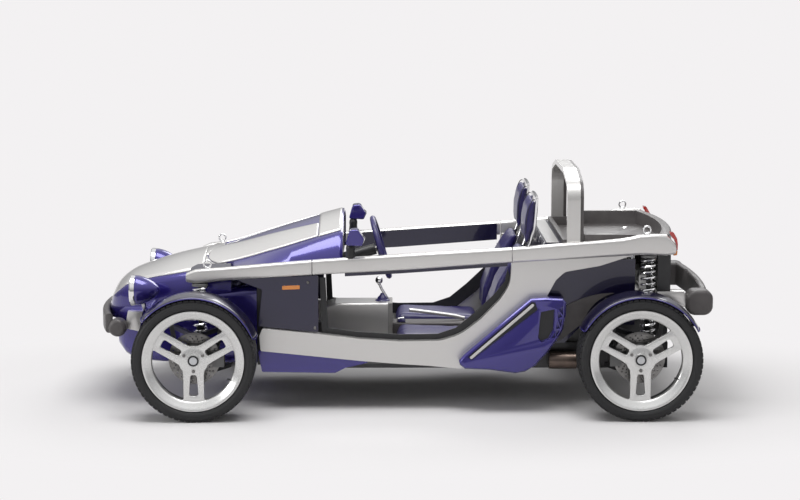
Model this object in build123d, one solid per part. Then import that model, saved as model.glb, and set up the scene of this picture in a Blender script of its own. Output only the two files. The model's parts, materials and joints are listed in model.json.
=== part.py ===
from build123d import *
import os
from math import cos, radians, sin

# A light open two-seat sports car: silver side rails outside a narrow body, cycle fenders, a roll
# hoop and a load tray behind the seats. Millimetres. It is built with x running rearwards from the
# front axle, y to the car's right and z up from the ground, and written with x from mid-length.

# Overall sizes
wheelbase = 2260
front_overhang = 545
rear_overhang = 404
overall_middle = (wheelbase + rear_overhang - front_overhang) / 2

# Wheels and tyres, with local y towards the car's middle from the wheel's own mid-plane
tyre_radius = 314
tyre_width = 205
wheel_outer_y = 800
wheel_mid_y = wheel_outer_y - tyre_width / 2
rim_lip_radius = 258
rim_seat_radius = 241
rim_barrel_wall = 12
rim_half_width = 96
rim_lip_width = 10
rim_window_radius = 213
rim_dish_margin = 4
hub_face_radius = 72
spoke_width = 105
spoke_slot_width = 47
spoke_slot_span = (74, 181)
spoke_angles = (30, 150, 270)
spoke_thickness = 24
hub_recess = 26
cap_radius = 27
hub_radius = 38
disc_radius = 132
disc_thickness = 11
spindle_radius = 17
running_fit = 0.05
seat_gap = 0.3
moving_gap = 5

# Steering and suspension
kingpin_y = 620
kingpin_radius = 10
kingpin_depth = 26
upright_half_height = 90
upright_half_length = 30
arm_thickness = 22
arm_eye_radius = 24
arm_leg_width = 24
front_arm_spread = 150
front_upper_spread = 130
rear_arm_spread = 130
arm_inner_y = 385
spring_radius = 42
spring_wire = 11
spring_pitch = 30
spring_seat_width = 76
front_spring_x = 12
front_spring_y = 476
rear_spring_x = wheelbase + 66
rear_spring_y = 502

# Fenders
fender_gap = 7
fender_wall = 6
fender_crown = 11
fender_inner_y = 586
front_fender_span = (20, 142)
rear_fender_span = (27, 153)

# Side rails
rail_width = 50
rail_corner = 17
rail_flare_start = 52
rail_front_half_width = 506
rail_rear_half_width = 550
rail_flare_length = 2260

# Columns: distance behind the front axle, bottom height, top height
rail_stations = (
    (-58, 672, 716),
    (-20, 662, 734),
    (128, 678, 746),
    (592, 709, 787),
    (1045, 734, 817),
    (1621, 775, 853),
    (1868, 790, 874),
    (2200, 811, 902),
    (2279, 816, 920),
    (2411, 812, 922),
    (2440, 810, 902),
    (2460, 822, 870),
)

# Body
panel_outer_y = 500
sill_outer_y = 520
sill_width = 50
tub_half_width = sill_outer_y - sill_width
pod_outer_y = 600
pod_chamfer = 9
recess_depth = 14
scoop_depth = 26
bar_stand = 4
lattice_share = 0.72
panel_wall = 12
floor_top = 236
floor_wall = 22
tub_front_x = 330
tub_rear_x = 1700
nose_half_width = 385
nose_rear_x = 300
cover_wall = 10
cover_rear_x = 165
hood_rear_x = 748
hood_wall = 16
hood_edge_y = 350
blade_wall = 5

nose_low = 440
blade_gap = 4
strip_gap_x = 620
band_rear_x = 735

# Nose sections, columns: x, half width of the crowned top, edge height, crown height, flank's half width
nose_stations = (
    (-494, 160, 514, 536, 175),
    (-470, 205, 556, 588, 220),
    (-437, 245, 588, 626, 262),
    (-382, 285, 630, 662, 305),
    (-274, 322, 664, 702, 345),
    (-138, 346, 690, 745, 370),
    (165, 350, 745, 814, 380),
)

# Hood sections, columns: x, half width of the crowned top, edge height, crown height
hood_stations = (
    (165, 350, 745, 814),
    (400, 350, 815, 888),
    (618, 350, 882, 954),
    (748, 350, 919, 989),
)

# Body sides: inner liners of the door openings and rails, and the panels behind the seats
liner_wall = 8
trim_wall = 12
trim_drop = 22
trim_short_rise = 20
trim_top_step = 8
trim_stations = (760, 1045, 1600)
rear_panel_wall = 12
quarter_wall = 12

# Cabin
dash_front_x = 668
tunnel_half_width = 95
tunnel_top = 490
seat_mid_y = 300
seat_width = 320
steering_y = -300
steering_radius = 172
steering_tube = 15
steering_centre = (947, 824)
steering_lean = 16
column_radius = 15
hoop_width = 68
hoop_backing = 17
hoop_wall = 26
hoop_top = 1232
hoop_shoulder = 1175
hoop_crown_y = 222
hoop_corner = 110
hoop_front_x = 1905
bulkhead_front_x = 1700
bulkhead_half_width = 440
bulkhead_top = 866
bulkhead_rear_x = 1884.7
seat_frame_wall = 16
seat_base_front = 1010
seat_base_rear = 1490

exhaust_radius = 46

# Tray
tray_half_width = 492
tray_under_half_width = 456
tray_side_wall = 22
tray_front_x = 1885
tray_front_rim = 885
tray_front_half_width = 458
tray_rear_x = 2492
tray_side_rear_x = 2432
tray_rear_wall = 50
filler_radius = 65
filler_place = (2151, -47)
filler_height = 12
filler_sink = 4
cap_place = (2302, 323)
cap_small_radius = 16
tray_rim = 915
tray_floor = 840
tray_wall = 8

# Bumpers and lamps
front_bumper_low = 388
front_bumper_depth = 102
front_bumper_wall = 38
front_pod_radius = 46
front_pod_length = 90
front_pod_place = (-421, 430, 425)
rear_bumper_low = 497
rear_bumper_depth = 131
rear_bumper_wall = 37
rear_pod_size = (138, 132)
rear_pod_corner = 48
rear_pod_length = 110
rear_pod_place = (2593, 470, 562.5)
bumper_rounding = 14
pod_rounding = 20
lamp_radius = 80
lamp_length = 150
lamp_x = -345
lamp_y = 470
lamp_height = 626
eye_radius = 14
eye_wall = 9
eye_width = 10


def plate(outline, y_from, y_to):
    """A side-view outline of (x, z) points, given thickness across the car."""
    face = Plane.XZ.offset(-y_to) * make_face(Polyline(*outline, close=True))
    return extrude(face, y_to - y_from)


def both(shape):
    """The piece and its mirror image on the car's other side."""
    return [shape, mirror(shape, about=Plane.XZ)]


def box(x_from, x_to, y_from, y_to, z_from, z_to):
    """A block between six named limits."""
    middle = ((x_from + x_to) / 2, (y_from + y_to) / 2, (z_from + z_to) / 2)
    return Pos(*middle) * Box(abs(x_to - x_from), abs(y_to - y_from), abs(z_to - z_from))


def rod(start, end, radius):
    """A round bar from one point to another."""
    line = Line(start, end)
    return extrude(Plane(origin=start, z_dir=line % 0) * Circle(radius), line.length)


def crowned(x, half_width, low, edge, crown, flank_y, flank_height):
    """A body section: a crowned top, and flanks out to flank_y that stand on the low line."""
    sides = Polyline(
        (half_width, edge),
        (flank_y, flank_height),
        (flank_y, low),
        (-flank_y, low),
        (-flank_y, flank_height),
        (-half_width, edge),
    )
    top = ThreePointArc((-half_width, edge), (0, crown), (half_width, edge))
    return Plane.YZ.offset(x) * make_face([*sides.edges(), top])


def rail_at(x, column):
    """The rail's bottom (column 1) or top (column 2) height at x."""
    for near, far in zip(rail_stations, rail_stations[1:]):
        if x <= far[0]:
            share = (x - near[0]) / (far[0] - near[0])
            return near[column] + share * (far[column] - near[column])
    return rail_stations[-1][column]


def rail_outer(x):
    """The rail's outer half width at x."""
    share = (x - rail_flare_start) / rail_flare_length
    return rail_front_half_width + share * (rail_rear_half_width - rail_front_half_width)


def rail_inner(x):
    """The rail's inner half width at x."""
    return rail_outer(x) - rail_width


def make_rail():
    """One side rail, as rounded sections along its length."""
    faces = []
    for x, bottom, top in rail_stations:
        middle = Location((x, -rail_outer(x) + rail_width / 2, (bottom + top) / 2))
        shape = RectangleRounded(rail_width, top - bottom, rail_corner)
        faces.append(middle * (Plane.YZ * shape))
    return loft(faces, ruled=True)


def make_tyre():
    """A tyre about the local y axis."""
    half = tyre_width / 2
    bead = rim_half_width - rim_lip_width
    side = (
        (rim_seat_radius + seat_gap, bead),
        (rim_lip_radius + seat_gap, bead),
        (rim_lip_radius + 10, half - 4),
        (tyre_radius - 26, half),
        (tyre_radius - 8, half - 7),
        (tyre_radius, half - 22),
    )
    outline = [(r, y) for r, y in side] + [(r, -y) for r, y in reversed(side)]
    return revolve(make_face(Polyline(*outline, close=True)), Axis.Y)


def make_rim():
    """A three-spoke rim with its hub and brake disc, outer face towards local -y."""
    face_y = -rim_half_width + hub_recess
    back_y = face_y + spoke_thickness
    bead = rim_half_width - rim_lip_width
    inside = rim_seat_radius - rim_barrel_wall
    outline = (
        (0, face_y),
        (hub_face_radius - rim_dish_margin, face_y),
        (rim_window_radius + rim_dish_margin, face_y - 4),
        (rim_lip_radius - 12, -rim_half_width),
        (rim_lip_radius, -rim_half_width),
        (rim_lip_radius, -bead),
        (rim_seat_radius, -bead),
        (rim_seat_radius, bead),
        (rim_lip_radius - 4, bead),
        (rim_lip_radius - 4, rim_half_width),
        (inside, rim_half_width),
        (inside, back_y + 6),
        (rim_window_radius + rim_dish_margin, back_y),
        (0, back_y),
    )
    rim = revolve(make_face(Polyline(*outline, close=True)), Axis.Y)
    windows = Circle(rim_window_radius) - Circle(hub_face_radius)
    for angle in spoke_angles:
        windows -= Rot(0, 0, angle) * Pos(rim_lip_radius / 2, 0) * Rectangle(rim_lip_radius, spoke_width)
    windows = fillet(windows.vertices(), 14)
    slot_length = spoke_slot_span[1] - spoke_slot_span[0]
    slot_middle = (spoke_slot_span[1] + spoke_slot_span[0]) / 2
    for angle in spoke_angles:
        windows += Rot(0, 0, angle) * Pos(slot_middle, 0) * RectangleRounded(slot_length, spoke_slot_width, 20)
    face_plane = Plane.XZ.offset(rim_half_width)
    rim -= extrude(face_plane * windows, -rim_half_width)
    axle = Plane.XZ.offset(-face_y)
    rim += extrude(axle * Circle(cap_radius), 6)
    hub_end = disc_thickness / 2 + 6
    rim += extrude(Plane.XZ.offset(-hub_end) * Circle(hub_radius), hub_end - back_y)
    disc = Plane.XZ.offset(-disc_thickness / 2) * Circle(disc_radius)
    rim += extrude(disc, disc_thickness)
    bore = Plane.XZ.offset(-hub_end) * Circle(spindle_radius + running_fit)
    return rim - extrude(bore, hub_end - back_y)


def make_upright(caliper_angle):
    """An upright with kingpin bores, a spindle and a caliper, outer side towards local -y."""
    pin_y = wheel_mid_y - kingpin_y
    hub_end = disc_thickness / 2 + 6
    face_y = -rim_half_width + hub_recess + spoke_thickness
    block_near = hub_end + moving_gap + 6
    block = box(-upright_half_length, upright_half_length, block_near, pin_y + 22,
                -upright_half_height, upright_half_height)
    block = fillet(block.edges().filter_by(Axis.Y), 16)
    for side in (-1, 1):
        top = Plane.XY.offset(side * upright_half_height) * Pos(0, pin_y) * Circle(kingpin_radius + running_fit)
        block -= extrude(top, -side * kingpin_depth)
    spindle = rod((0, block_near, 0), (0, face_y + 4, 0), spindle_radius)
    inner = disc_radius - 40
    outer = disc_radius + moving_gap + 14
    half = disc_thickness / 2 + moving_gap
    caliper = box(inner, outer, -half - 12, block_near + 12, -42, 42)
    caliper -= box(inner - 1, disc_radius + moving_gap, -half, half, -43, 43)
    bracket = box(0, outer - 4, block_near, block_near + 14, -30, 30)
    return block + spindle + Rot(0, -caliper_angle, 0) * (caliper + bracket)


def make_arm(spread, legs):
    """A suspension arm from the kingpin's line in to the body, its underside at local z 0."""
    reach = kingpin_y - arm_inner_y
    arm = extrude(Circle(arm_eye_radius), arm_thickness)
    for leg in legs:
        half = arm_leg_width / 2
        start = leg * (arm_eye_radius - half)
        end = leg * spread
        outline = (
            (start - half, 0),
            (start + half, 0),
            (end + half, reach),
            (end - half, reach),
        )
        arm += extrude(make_face(Polyline(*outline, close=True)), arm_thickness)
    return arm


def make_suspension(spread, upper_spread, upper_legs, spring_reach):
    """The upper and lower arms of one left wheel, with their kingpin pins, about the wheel's centre."""
    pin_reach = kingpin_depth - 2
    lower_z = -upright_half_height - seat_gap - arm_thickness
    upper_z = upright_half_height + seat_gap
    lower = make_arm(spread, (-1, 1))
    seat_half = spread * spring_reach / (kingpin_y - arm_inner_y)
    seat = Pos(0, spring_reach, arm_thickness / 2) * Box(2 * seat_half, spring_seat_width, arm_thickness)
    lower = Pos(0, 0, lower_z) * (lower + seat)
    lower += Pos(0, 0, -upright_half_height - seat_gap) * extrude(Circle(kingpin_radius), pin_reach)
    upper = Pos(0, 0, upper_z) * make_arm(upper_spread, upper_legs)
    upper += Pos(0, 0, upper_z) * extrude(Circle(kingpin_radius), -pin_reach)
    return [lower, upper]


def make_spring(bottom, top):
    """A coil spring round its damper, as one turned piece standing between two heights."""
    inner = spring_radius - spring_wire
    cap = 12
    count = int((top - bottom - 2 * cap) / spring_pitch)
    pitch = (top - bottom - 2 * cap) / count
    outline = [(0, bottom), (spring_radius, bottom), (spring_radius, bottom + cap)]
    for turn in range(count):
        start = bottom + cap + turn * pitch
        outline.append((inner - 6, start + pitch * 0.25))
        outline.append((spring_radius, start + pitch * 0.5))
        outline.append((spring_radius, start + pitch * 0.8))
    outline += [(inner - 6, top - cap), (spring_radius, top - cap), (spring_radius, top), (0, top)]
    return revolve(Plane.XZ * make_face(Polyline(*outline, close=True)), Axis.Z)


def make_fender(span):
    """A cycle fender over one left wheel, about the wheel's centre, crowned across its width."""
    inner = tyre_radius + fender_gap
    outer_y = -tyre_width / 2
    inner_y = wheel_mid_y - fender_inner_y
    middle_y = (outer_y + inner_y) / 2
    under = ThreePointArc((inner, outer_y), (inner + fender_crown, middle_y), (inner, inner_y))
    over_edge = inner + fender_wall
    over = ThreePointArc((over_edge, inner_y), (over_edge + fender_crown, middle_y), (over_edge, outer_y))
    near = Line((over_edge, outer_y), (inner, outer_y))
    far = Line((inner, inner_y), (over_edge, inner_y))
    face = make_face([under, far, over, near])
    start = Rot(0, -span[0], 0) * face
    return revolve(start, Axis.Y, revolution_arc=-(span[1] - span[0]))


def make_fender_stays():
    """The two flat stays that carry a front fender from its upright, about the wheel's centre."""
    stay_y = wheel_mid_y - fender_inner_y
    wall = 6
    reach = tyre_radius + fender_gap + 4
    stays = box(-112, 112, stay_y - wall, stay_y, -35, 35)
    for foot, angle in ((100, 62), (-100, 118)):
        tip = (reach * cos(radians(angle)), reach * sin(radians(angle)))
        outline = (
            (foot - 12, 0),
            (foot + 12, 0),
            (tip[0] + 12, tip[1]),
            (tip[0] - 12, tip[1]),
        )
        stays += plate(outline, stay_y - wall, stay_y)
    return stays + box(-30, 30, wheel_mid_y - kingpin_y + 20, stay_y, -35, 35)


def make_nose():
    """The solid nose body under the silver cover, with the lower nose and flanks to the rails."""
    faces = []
    for x, half_width, edge, crown, flank_y in nose_stations:
        under = edge - cover_wall
        faces.append(crowned(x, half_width, nose_low, under, crown - cover_wall, flank_y, (nose_low + under) / 2))
    upper = loft(faces, ruled=True)
    lower = plate(
        ((-450, 361), (-425, 265), (-342, 228), (nose_rear_x, floor_top - floor_wall),
         (nose_rear_x, 640), (-60, 600), (-250, 512), (-440, 505)),
        -nose_half_width, nose_half_width,
    )
    taper = []
    for x, half_width in ((-600, 230), (-430, 300), (-300, 360), (-180, nose_half_width), (400, nose_half_width)):
        taper.append((x, half_width))
    plan = taper + [(x, -y) for x, y in reversed(taper)]
    lower &= extrude(Plane.XY.offset(100) * make_face(Polyline(*plan, close=True)), 800)
    flank_outline = ((-45, 690), (-45, 716), (cover_rear_x, 738), (cover_rear_x, 684), (20, 668))
    inner = rail_inner(-45)
    flanks = plate(flank_outline, -inner, inner)
    return upper + lower + flanks


def blade_plan(margin):
    """The left and right blades seen from above: rounded tips that widen towards the cowl."""
    tip = ThreePointArc((150, 76), (34, 205), (130, 328))
    sides = Polyline((130, 328), (strip_gap_x, 337), (strip_gap_x, 186), (150, 76))
    blade = make_face([tip, *sides.edges()])
    if margin:
        blade = offset(blade, margin)
    return blade + mirror(blade, about=Plane.XZ)


def make_nose_cover():
    """The silver cover that lies on the nose, notched behind round the tips of the blades."""
    outer = []
    inner = []
    for x, half_width, edge, crown, _ in nose_stations:
        outer.append(crowned(x, half_width, edge - cover_wall, edge, crown, half_width, edge - 1))
        inner.append(crowned(x, half_width, edge - cover_wall - 60, edge - cover_wall, crown - cover_wall,
                             half_width + 30, edge - cover_wall - 1))
    skin = loft(outer, ruled=True) - loft(inner, ruled=True)
    return skin - extrude(Plane.XY.offset(600) * blade_plan(blade_gap), 600)


def hood_section(x, half_width, edge, crown, inset, low_drop):
    """A hood section that meets the rails, inset by a wall where asked."""
    flank_y = rail_inner(x) - seat_gap - inset
    flank_height = rail_at(x, 2) - 10 - inset
    low = rail_at(x, 1) + 4 - low_drop
    return crowned(x, half_width - inset * 0.6, low, edge - inset, crown - inset, flank_y, flank_height)


def make_hood_body():
    """The purple hood and cowl, open below and behind."""
    outer = loft([hood_section(*row, 0, 0) for row in hood_stations], ruled=True)
    first = hood_stations[0]
    last = hood_stations[-1]
    inner_rows = [(first[0] + hood_wall, first[1], first[2] + 4, first[3] + 4), *hood_stations[1:-1]]
    inner_rows.append((last[0] + 1, *last[1:]))
    inner = loft([hood_section(*row, hood_wall, 60) for row in inner_rows], ruled=True)
    return outer - inner


def make_hood_blades():
    """Two tapered silver blades on the nose and hood, and the band across the cowl behind them."""
    rows = [nose_stations[-2][:4], *hood_stations]
    outer = []
    for x, half_width, edge, crown in rows:
        outer.append(crowned(x, half_width, edge - 30, edge + blade_wall, crown + blade_wall, half_width, edge))
    skin = loft(outer, ruled=True)
    for seat_rows, drop in ((rows[:2], cover_wall), (rows[1:], 0)):
        inner = []
        for x, half_width, edge, crown in seat_rows:
            inner.append(crowned(x, half_width, edge - 60, edge - drop, crown - drop, half_width + 8, edge - 18))
        skin -= loft(inner, ruled=True)
    band = ((strip_gap_x, -352), (band_rear_x, -352), (band_rear_x, 352), (strip_gap_x, 352))
    plan = blade_plan(0) + make_face(Polyline(*band, close=True))
    return skin & extrude(Plane.XY.offset(600) * plan, 600)


def make_dashboard():
    """The dashboard inside the cowl."""
    near = hood_stations[-2]
    far = hood_stations[-1]
    faces = []
    for x in (dash_front_x, hood_rear_x - 6):
        share = (x - near[0]) / (far[0] - near[0])
        edge = near[2] + share * (far[2] - near[2])
        crown = near[3] + share * (far[3] - near[3])
        faces.append(hood_section(x, hood_edge_y, edge, crown, hood_wall + seat_gap, 0))
    return loft(faces, ruled=True)


def make_door_liner():
    """The left black liner inside the sill's upper edge, with the pillar at its front end."""
    low = ((640, 372), (838, 346), (1045, 333), (1252, 335), (1375, 372), (1480, 455), (1580, 560), (1632, 650))
    high = ((1600, 735), (1588, 668), (1530, 598), (1430, 503), (1335, 425), (1240, 393), (1045, 391), (838, 404),
            (672, 424), (660, 690), (630, 690))
    return plate((*low, *high), -tub_half_width + seat_gap, -tub_half_width + seat_gap + liner_wall)


def make_rail_trim(short):
    """The left trim on the rail's inner face, which reaches below the rail; the short one stays low."""
    faces = []
    for x in trim_stations:
        low = rail_at(x, 1) - trim_drop
        high = rail_at(x, 1) + trim_short_rise if short else rail_at(x, 2) - trim_top_step
        middle = Location((x, -rail_inner(x) + trim_wall / 2 + seat_gap, (low + high) / 2))
        faces.append(middle * (Plane.YZ * Rectangle(trim_wall, high - low)))
    return loft(faces, ruled=True)


def make_rear_side():
    """The left body side behind the seats, and the quarter panel between it and the fender."""
    outer = -tub_half_width + seat_gap
    panel = plate(((1740, 345), (1740, 600), (1800, 770), (2262, 785), (2262, 440), (1990, 440), (1900, 345)),
                  outer, outer + rear_panel_wall)
    arc = ThreePointArc((1845, 500), (1985, 578), (2153, 608))
    fender_side = ThreePointArc((2153, 608), (2055, 555), (1995, 452))
    lower = Polyline((1995, 452), (1871, 356), (1800, 356), (1845, 500))
    face = make_face([arc, fender_side, *lower.edges()])
    quarter = extrude(Plane.XZ.offset(-outer + seat_gap) * face, quarter_wall)
    return panel, quarter


def make_sill():
    """The left silver sill that curves up behind the door opening to the rail."""
    outline = [
        (323, 314), (318, 392), (334, 432), (626, 403), (838, 376), (1045, 363), (1252, 365), (1355, 397),
        (1458, 475), (1560, 580), (1611, 658),
    ]
    for x in (1620, 1868, 2200, 2248):
        outline.append((x, rail_at(x, 1) - seat_gap))
    outline += [(2073, 757), (1894, 726), (1848, 684), (1792, 580), (1700, 400), (1371, 217), (1200, 234),
                (1045, 244), (838, 261), (528, 293)]
    return plate(outline, -sill_outer_y, -sill_outer_y + sill_width)


def make_seat(y):
    """One seat: base, lower back and upper back pads, and the frame that carries them."""
    half = seat_width / 2
    spine = ((1550, 400), (1600, 560), (1650, 700), (1700, 835), (1716, 902), (1731, 955), (1744, 1096))
    rear = [(x - seat_gap, z) for x, z in spine]
    lower_back = plate(((1500, 400), *rear[:4], (1665, 826), (1612, 750), (1556, 650), (1510, 520)), y - half, y + half)
    front = ThreePointArc(rear[6], (1687, 985), rear[4])
    upper_face = make_face([front, *Polyline(*rear[4:]).edges()])
    upper_back = extrude(Plane.XZ.offset(-(y + half)) * upper_face, seat_width)
    base = box(seat_base_front, seat_base_rear, y - half, y + half, floor_top + 59 + seat_gap, floor_top + 150)
    base = fillet(base.edges(), 20)
    back_line = [(x + seat_frame_wall, z - 6) for x, z in reversed(spine)]
    rail_outline = ((1000, floor_top), (1000, floor_top + 59), (1500, floor_top + 59), *spine,
                    (1752, 1112), *back_line, (1520, floor_top))
    frame = []
    for side in (-1, 1):
        middle = y + side * (half - 30)
        frame.append(plate(rail_outline, middle - 12, middle + 12))
    return [lower_back, upper_back, base], frame


def make_hoop():
    """The roll hoop: a bent band with its wide face outwards, and the backing band behind it."""
    half = rail_inner(hoop_front_x) - seat_gap
    foot = rail_at(hoop_front_x, 1) + 6
    parts = []
    for x_from, x_to, inset in ((hoop_front_x, hoop_front_x + hoop_width, 0),
                                (hoop_front_x + hoop_width + seat_gap, hoop_front_x + hoop_width + hoop_backing, 4)):
        outer_half = half - inset
        shoulder = hoop_shoulder - inset
        outer_top = hoop_top - inset
        outline = FilletPolyline(
            (-outer_half, foot), (-outer_half, shoulder), (-hoop_crown_y, outer_top),
            (hoop_crown_y, outer_top), (outer_half, shoulder), (outer_half, foot),
            radius=hoop_corner,
        )
        closed = make_face([*outline.edges(), Line((outer_half, foot), (-outer_half, foot))])
        inner = offset(closed, -hoop_wall)
        inner += Pos(0, foot) * Rectangle(2 * (outer_half - hoop_wall), 2 * hoop_wall + 2)
        parts.append(extrude(Plane.YZ.offset(x_from) * (closed - inner), x_to - x_from))
    return parts


def bowed_plan(front, rear_side, rear_middle, half):
    """A plan face with a straight front edge and a rear edge that bows rearwards."""
    rear = ThreePointArc((rear_side, -half), (rear_middle, 0), (rear_side, half))
    return make_face([rear, *Polyline((rear_side, half), (front, half), (front, -half), (rear_side, -half)).edges()])


def make_tray():
    """The open load tray behind the hoop, its rear wall bowed."""
    front = hoop_front_x + hoop_width + hoop_backing + moving_gap
    under = tray_floor - tray_wall
    outer = bowed_plan(front, tray_side_rear_x, tray_rear_x, tray_half_width)
    shell = extrude(Plane.XY.offset(under) * outer, tray_rim - under)
    rim_edges = shell.edges().group_by(Axis.Z)[-1]
    shell = fillet(rim_edges.sort_by(Axis.X)[-1], 16)
    shell += box(2380, 2430, -tray_under_half_width, tray_under_half_width, 800, under)
    half = tray_front_half_width
    shell += box(tray_front_x, front + tray_side_wall, -half, half, under, tray_front_rim)
    well = bowed_plan(front + tray_side_wall, tray_side_rear_x - tray_rear_wall, tray_rear_x - tray_rear_wall,
                      tray_half_width - tray_side_wall)
    shell -= extrude(Plane.XY.offset(tray_floor) * well, tray_rim)
    half -= tray_side_wall
    return shell - box(tray_front_x + tray_side_wall, front + tray_side_wall + 1, -half, half, tray_floor, tray_rim + 1)


def make_filler_caps():
    """The large filler cap sunk into the tray's floor and the small one behind it."""
    seat = Plane.XY.offset(tray_floor - filler_sink)
    large = extrude(seat * Pos(*filler_place) * Circle(filler_radius), filler_sink + filler_height)
    large = fillet(large.edges().group_by(Axis.Z)[-1], 5)
    small = extrude(seat * Pos(*cap_place) * Circle(cap_small_radius), filler_sink + filler_height / 2)
    return [large, small]


def bowed_bar(tip, end, half, wall, low, depth, rounding):
    """A bumper bar that bows to its tip from its ends, with rounded upper and lower edges."""
    inward = wall if tip < end else -wall
    outer = ThreePointArc((end, -half), (tip, 0), (end, half))
    inner = ThreePointArc((end + inward, half), (tip + inward, 0), (end + inward, -half))
    face = make_face([outer, Line((end, half), (end + inward, half)), inner,
                      Line((end + inward, -half), (end, -half))])
    bar = extrude(Plane.XY.offset(low) * face, depth)
    long_edges = [edge for edge in bar.edges() if edge.length > half]
    return fillet(long_edges, rounding)


def make_front_bumper():
    """The bowed front bumper bar with its round end pods."""
    bar = bowed_bar(-front_overhang, -490, 400, front_bumper_wall, front_bumper_low, front_bumper_depth,
                    bumper_rounding)
    x, y, z = front_pod_place
    for side in (-1, 1):
        pod = Cylinder(front_pod_radius, front_pod_length)
        pod = fillet(pod.edges().filter_by(GeomType.CIRCLE), pod_rounding)
        bar += Pos(x, side * y, z) * Rot(90, 0, 0) * pod
    return bar


def make_rear_bumper():
    """The bowed rear bumper bar with its rounded end pods."""
    bar = bowed_bar(wheelbase + rear_overhang, 2640, 430, rear_bumper_wall, rear_bumper_low, rear_bumper_depth,
                    bumper_rounding)
    x, y, z = rear_pod_place
    for side in (-1, 1):
        face = RectangleRounded(*rear_pod_size, rear_pod_corner)
        pod = extrude(face, rear_pod_length / 2, both=True)
        pod = fillet(pod.edges().group_by(Axis.Z)[0] + pod.edges().group_by(Axis.Z)[-1], pod_rounding)
        bar += Pos(x, side * y, z) * Rot(90, 0, 0) * pod
    return bar


def make_bumper_brackets():
    """The silver brackets that carry both bumpers on the left."""
    front = plate(((-390, 412), (-373, 502), (-298, 499), (-316, 396)), -400, -362)
    rear = plate(((2374, 590), (2374, 621), (2512, 621), (2545, 533), (2500, 540)), -500, -430)
    return [front, rear]


def make_headlamp():
    """The left headlamp: bullet shell with its stalk, bezel and lens."""
    inner = lamp_radius - 8
    shell_outline = ((0, 24), (inner, 24), (lamp_radius - 6, 40), (lamp_radius - 18, 85), (lamp_radius - 46, 128),
                     (0, lamp_length))
    shell = revolve(make_face(Polyline(*shell_outline, close=True)), Axis.Y)
    bezel_outline = ((inner - 4, 0), (lamp_radius, 4), (lamp_radius, 24 - seat_gap), (inner - 4, 24 - seat_gap))
    bezel = revolve(make_face(Polyline(*bezel_outline, close=True)), Axis.Y)
    lens_outline = ((0, -4), (inner - 5, 4), (inner - 5, 22), (0, 22))
    lens = revolve(make_face(Polyline(*lens_outline, close=True)), Axis.Y)
    place = Pos(lamp_x, -lamp_y, lamp_height) * Rot(0, 0, -90)
    shell, bezel, lens = place * shell, place * bezel, place * lens
    shell += rod((lamp_x + 60, -lamp_y, lamp_height - 40), (lamp_x + 60, -nose_half_width + 30, 500), 13)
    return shell, bezel, lens


def make_pod():
    """The left side pod: a recess along its upper edge with the bar in it, a scoop and a lattice behind."""
    outline = ((1347, 276), (1373, 307), (1714, 599), (1786, 604), (1878, 598), (1896, 577), (1894, 515),
               (1880, 437), (1850, 385), (1804, 322), (1738, 249), (1687, 218), (1636, 210), (1507, 228),
               (1378, 234), (1352, 255))
    pod = plate(outline, -pod_outer_y, -sill_outer_y)
    rim = [edge for edge in pod.edges() if edge.center().Y < -pod_outer_y + 0.01]
    pod = chamfer(rim, pod_chamfer)
    recess = ((1390, 296), (1412, 278), (1752, 540), (1738, 580), (1718, 584))
    pod -= plate(recess, -pod_outer_y - 1, -pod_outer_y + recess_depth)
    bar = plate(((1400, 293), (1412, 284), (1727, 558), (1734, 570), (1722, 575)),
                -pod_outer_y - bar_stand, -pod_outer_y + recess_depth)
    scoop = ((1766, 531), (1838, 546), (1834, 437), (1808, 388), (1768, 372), (1752, 395), (1761, 489))
    pod -= plate(scoop, -pod_outer_y - 1, -pod_outer_y + scoop_depth)
    inner_line = ((1852, 545), (1850, 490), (1842, 440), (1820, 392))
    outer_line = ((1882, 572), (1880, 505), (1868, 440), (1842, 392))
    for near, far, beyond, after in zip(inner_line, outer_line, outer_line[1:], inner_line[1:]):
        for triangle in ((near, far, beyond), (near, beyond, after)):
            x = sum(corner[0] for corner in triangle) / 3
            z = sum(corner[1] for corner in triangle) / 3
            hole = [(x + (cx - x) * lattice_share, z + (cz - z) * lattice_share) for cx, cz in triangle]
            pod -= plate(hole, -pod_outer_y - 1, -pod_outer_y + scoop_depth)
    return pod, bar


def make_eye(x, y, z):
    """A lift eye: a round lug on a foot, with its hole across the car."""
    lug = Pos(x, y, z + eye_radius + eye_wall) * Rot(90, 0, 0) * Cylinder(eye_radius + eye_wall, eye_width)
    foot = box(x - eye_radius, x + eye_radius, y - eye_width / 2, y + eye_width / 2, z - 4, z + eye_radius)
    hole = Pos(x, y, z + eye_radius + eye_wall) * Rot(90, 0, 0) * Cylinder(eye_radius, eye_width + 2)
    return lug + foot - hole


def make_steering_wheel():
    """The steering wheel with its shaft, about its own centre, the shaft along local -z."""
    wheel = Torus(steering_radius - steering_tube, steering_tube)
    for angle in (0, 120, 240):
        spoke = Pos((steering_radius - steering_tube) / 2, 0, -4) * Box(steering_radius - steering_tube, 28, 8)
        wheel += Rot(0, 0, angle + 90) * spoke
    wheel += Pos(0, 0, -8) * Cylinder(34, 26)
    return wheel + Pos(0, 0, -60) * Cylinder(column_radius, 110)


def placed_steering(shape):
    """Local z tilted back from the car's x axis by the column's slope, at the wheel's centre."""
    return Pos(steering_centre[0], steering_y, steering_centre[1]) * Rot(0, 90 - steering_lean, 0) * shape


nodes = {}

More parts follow.
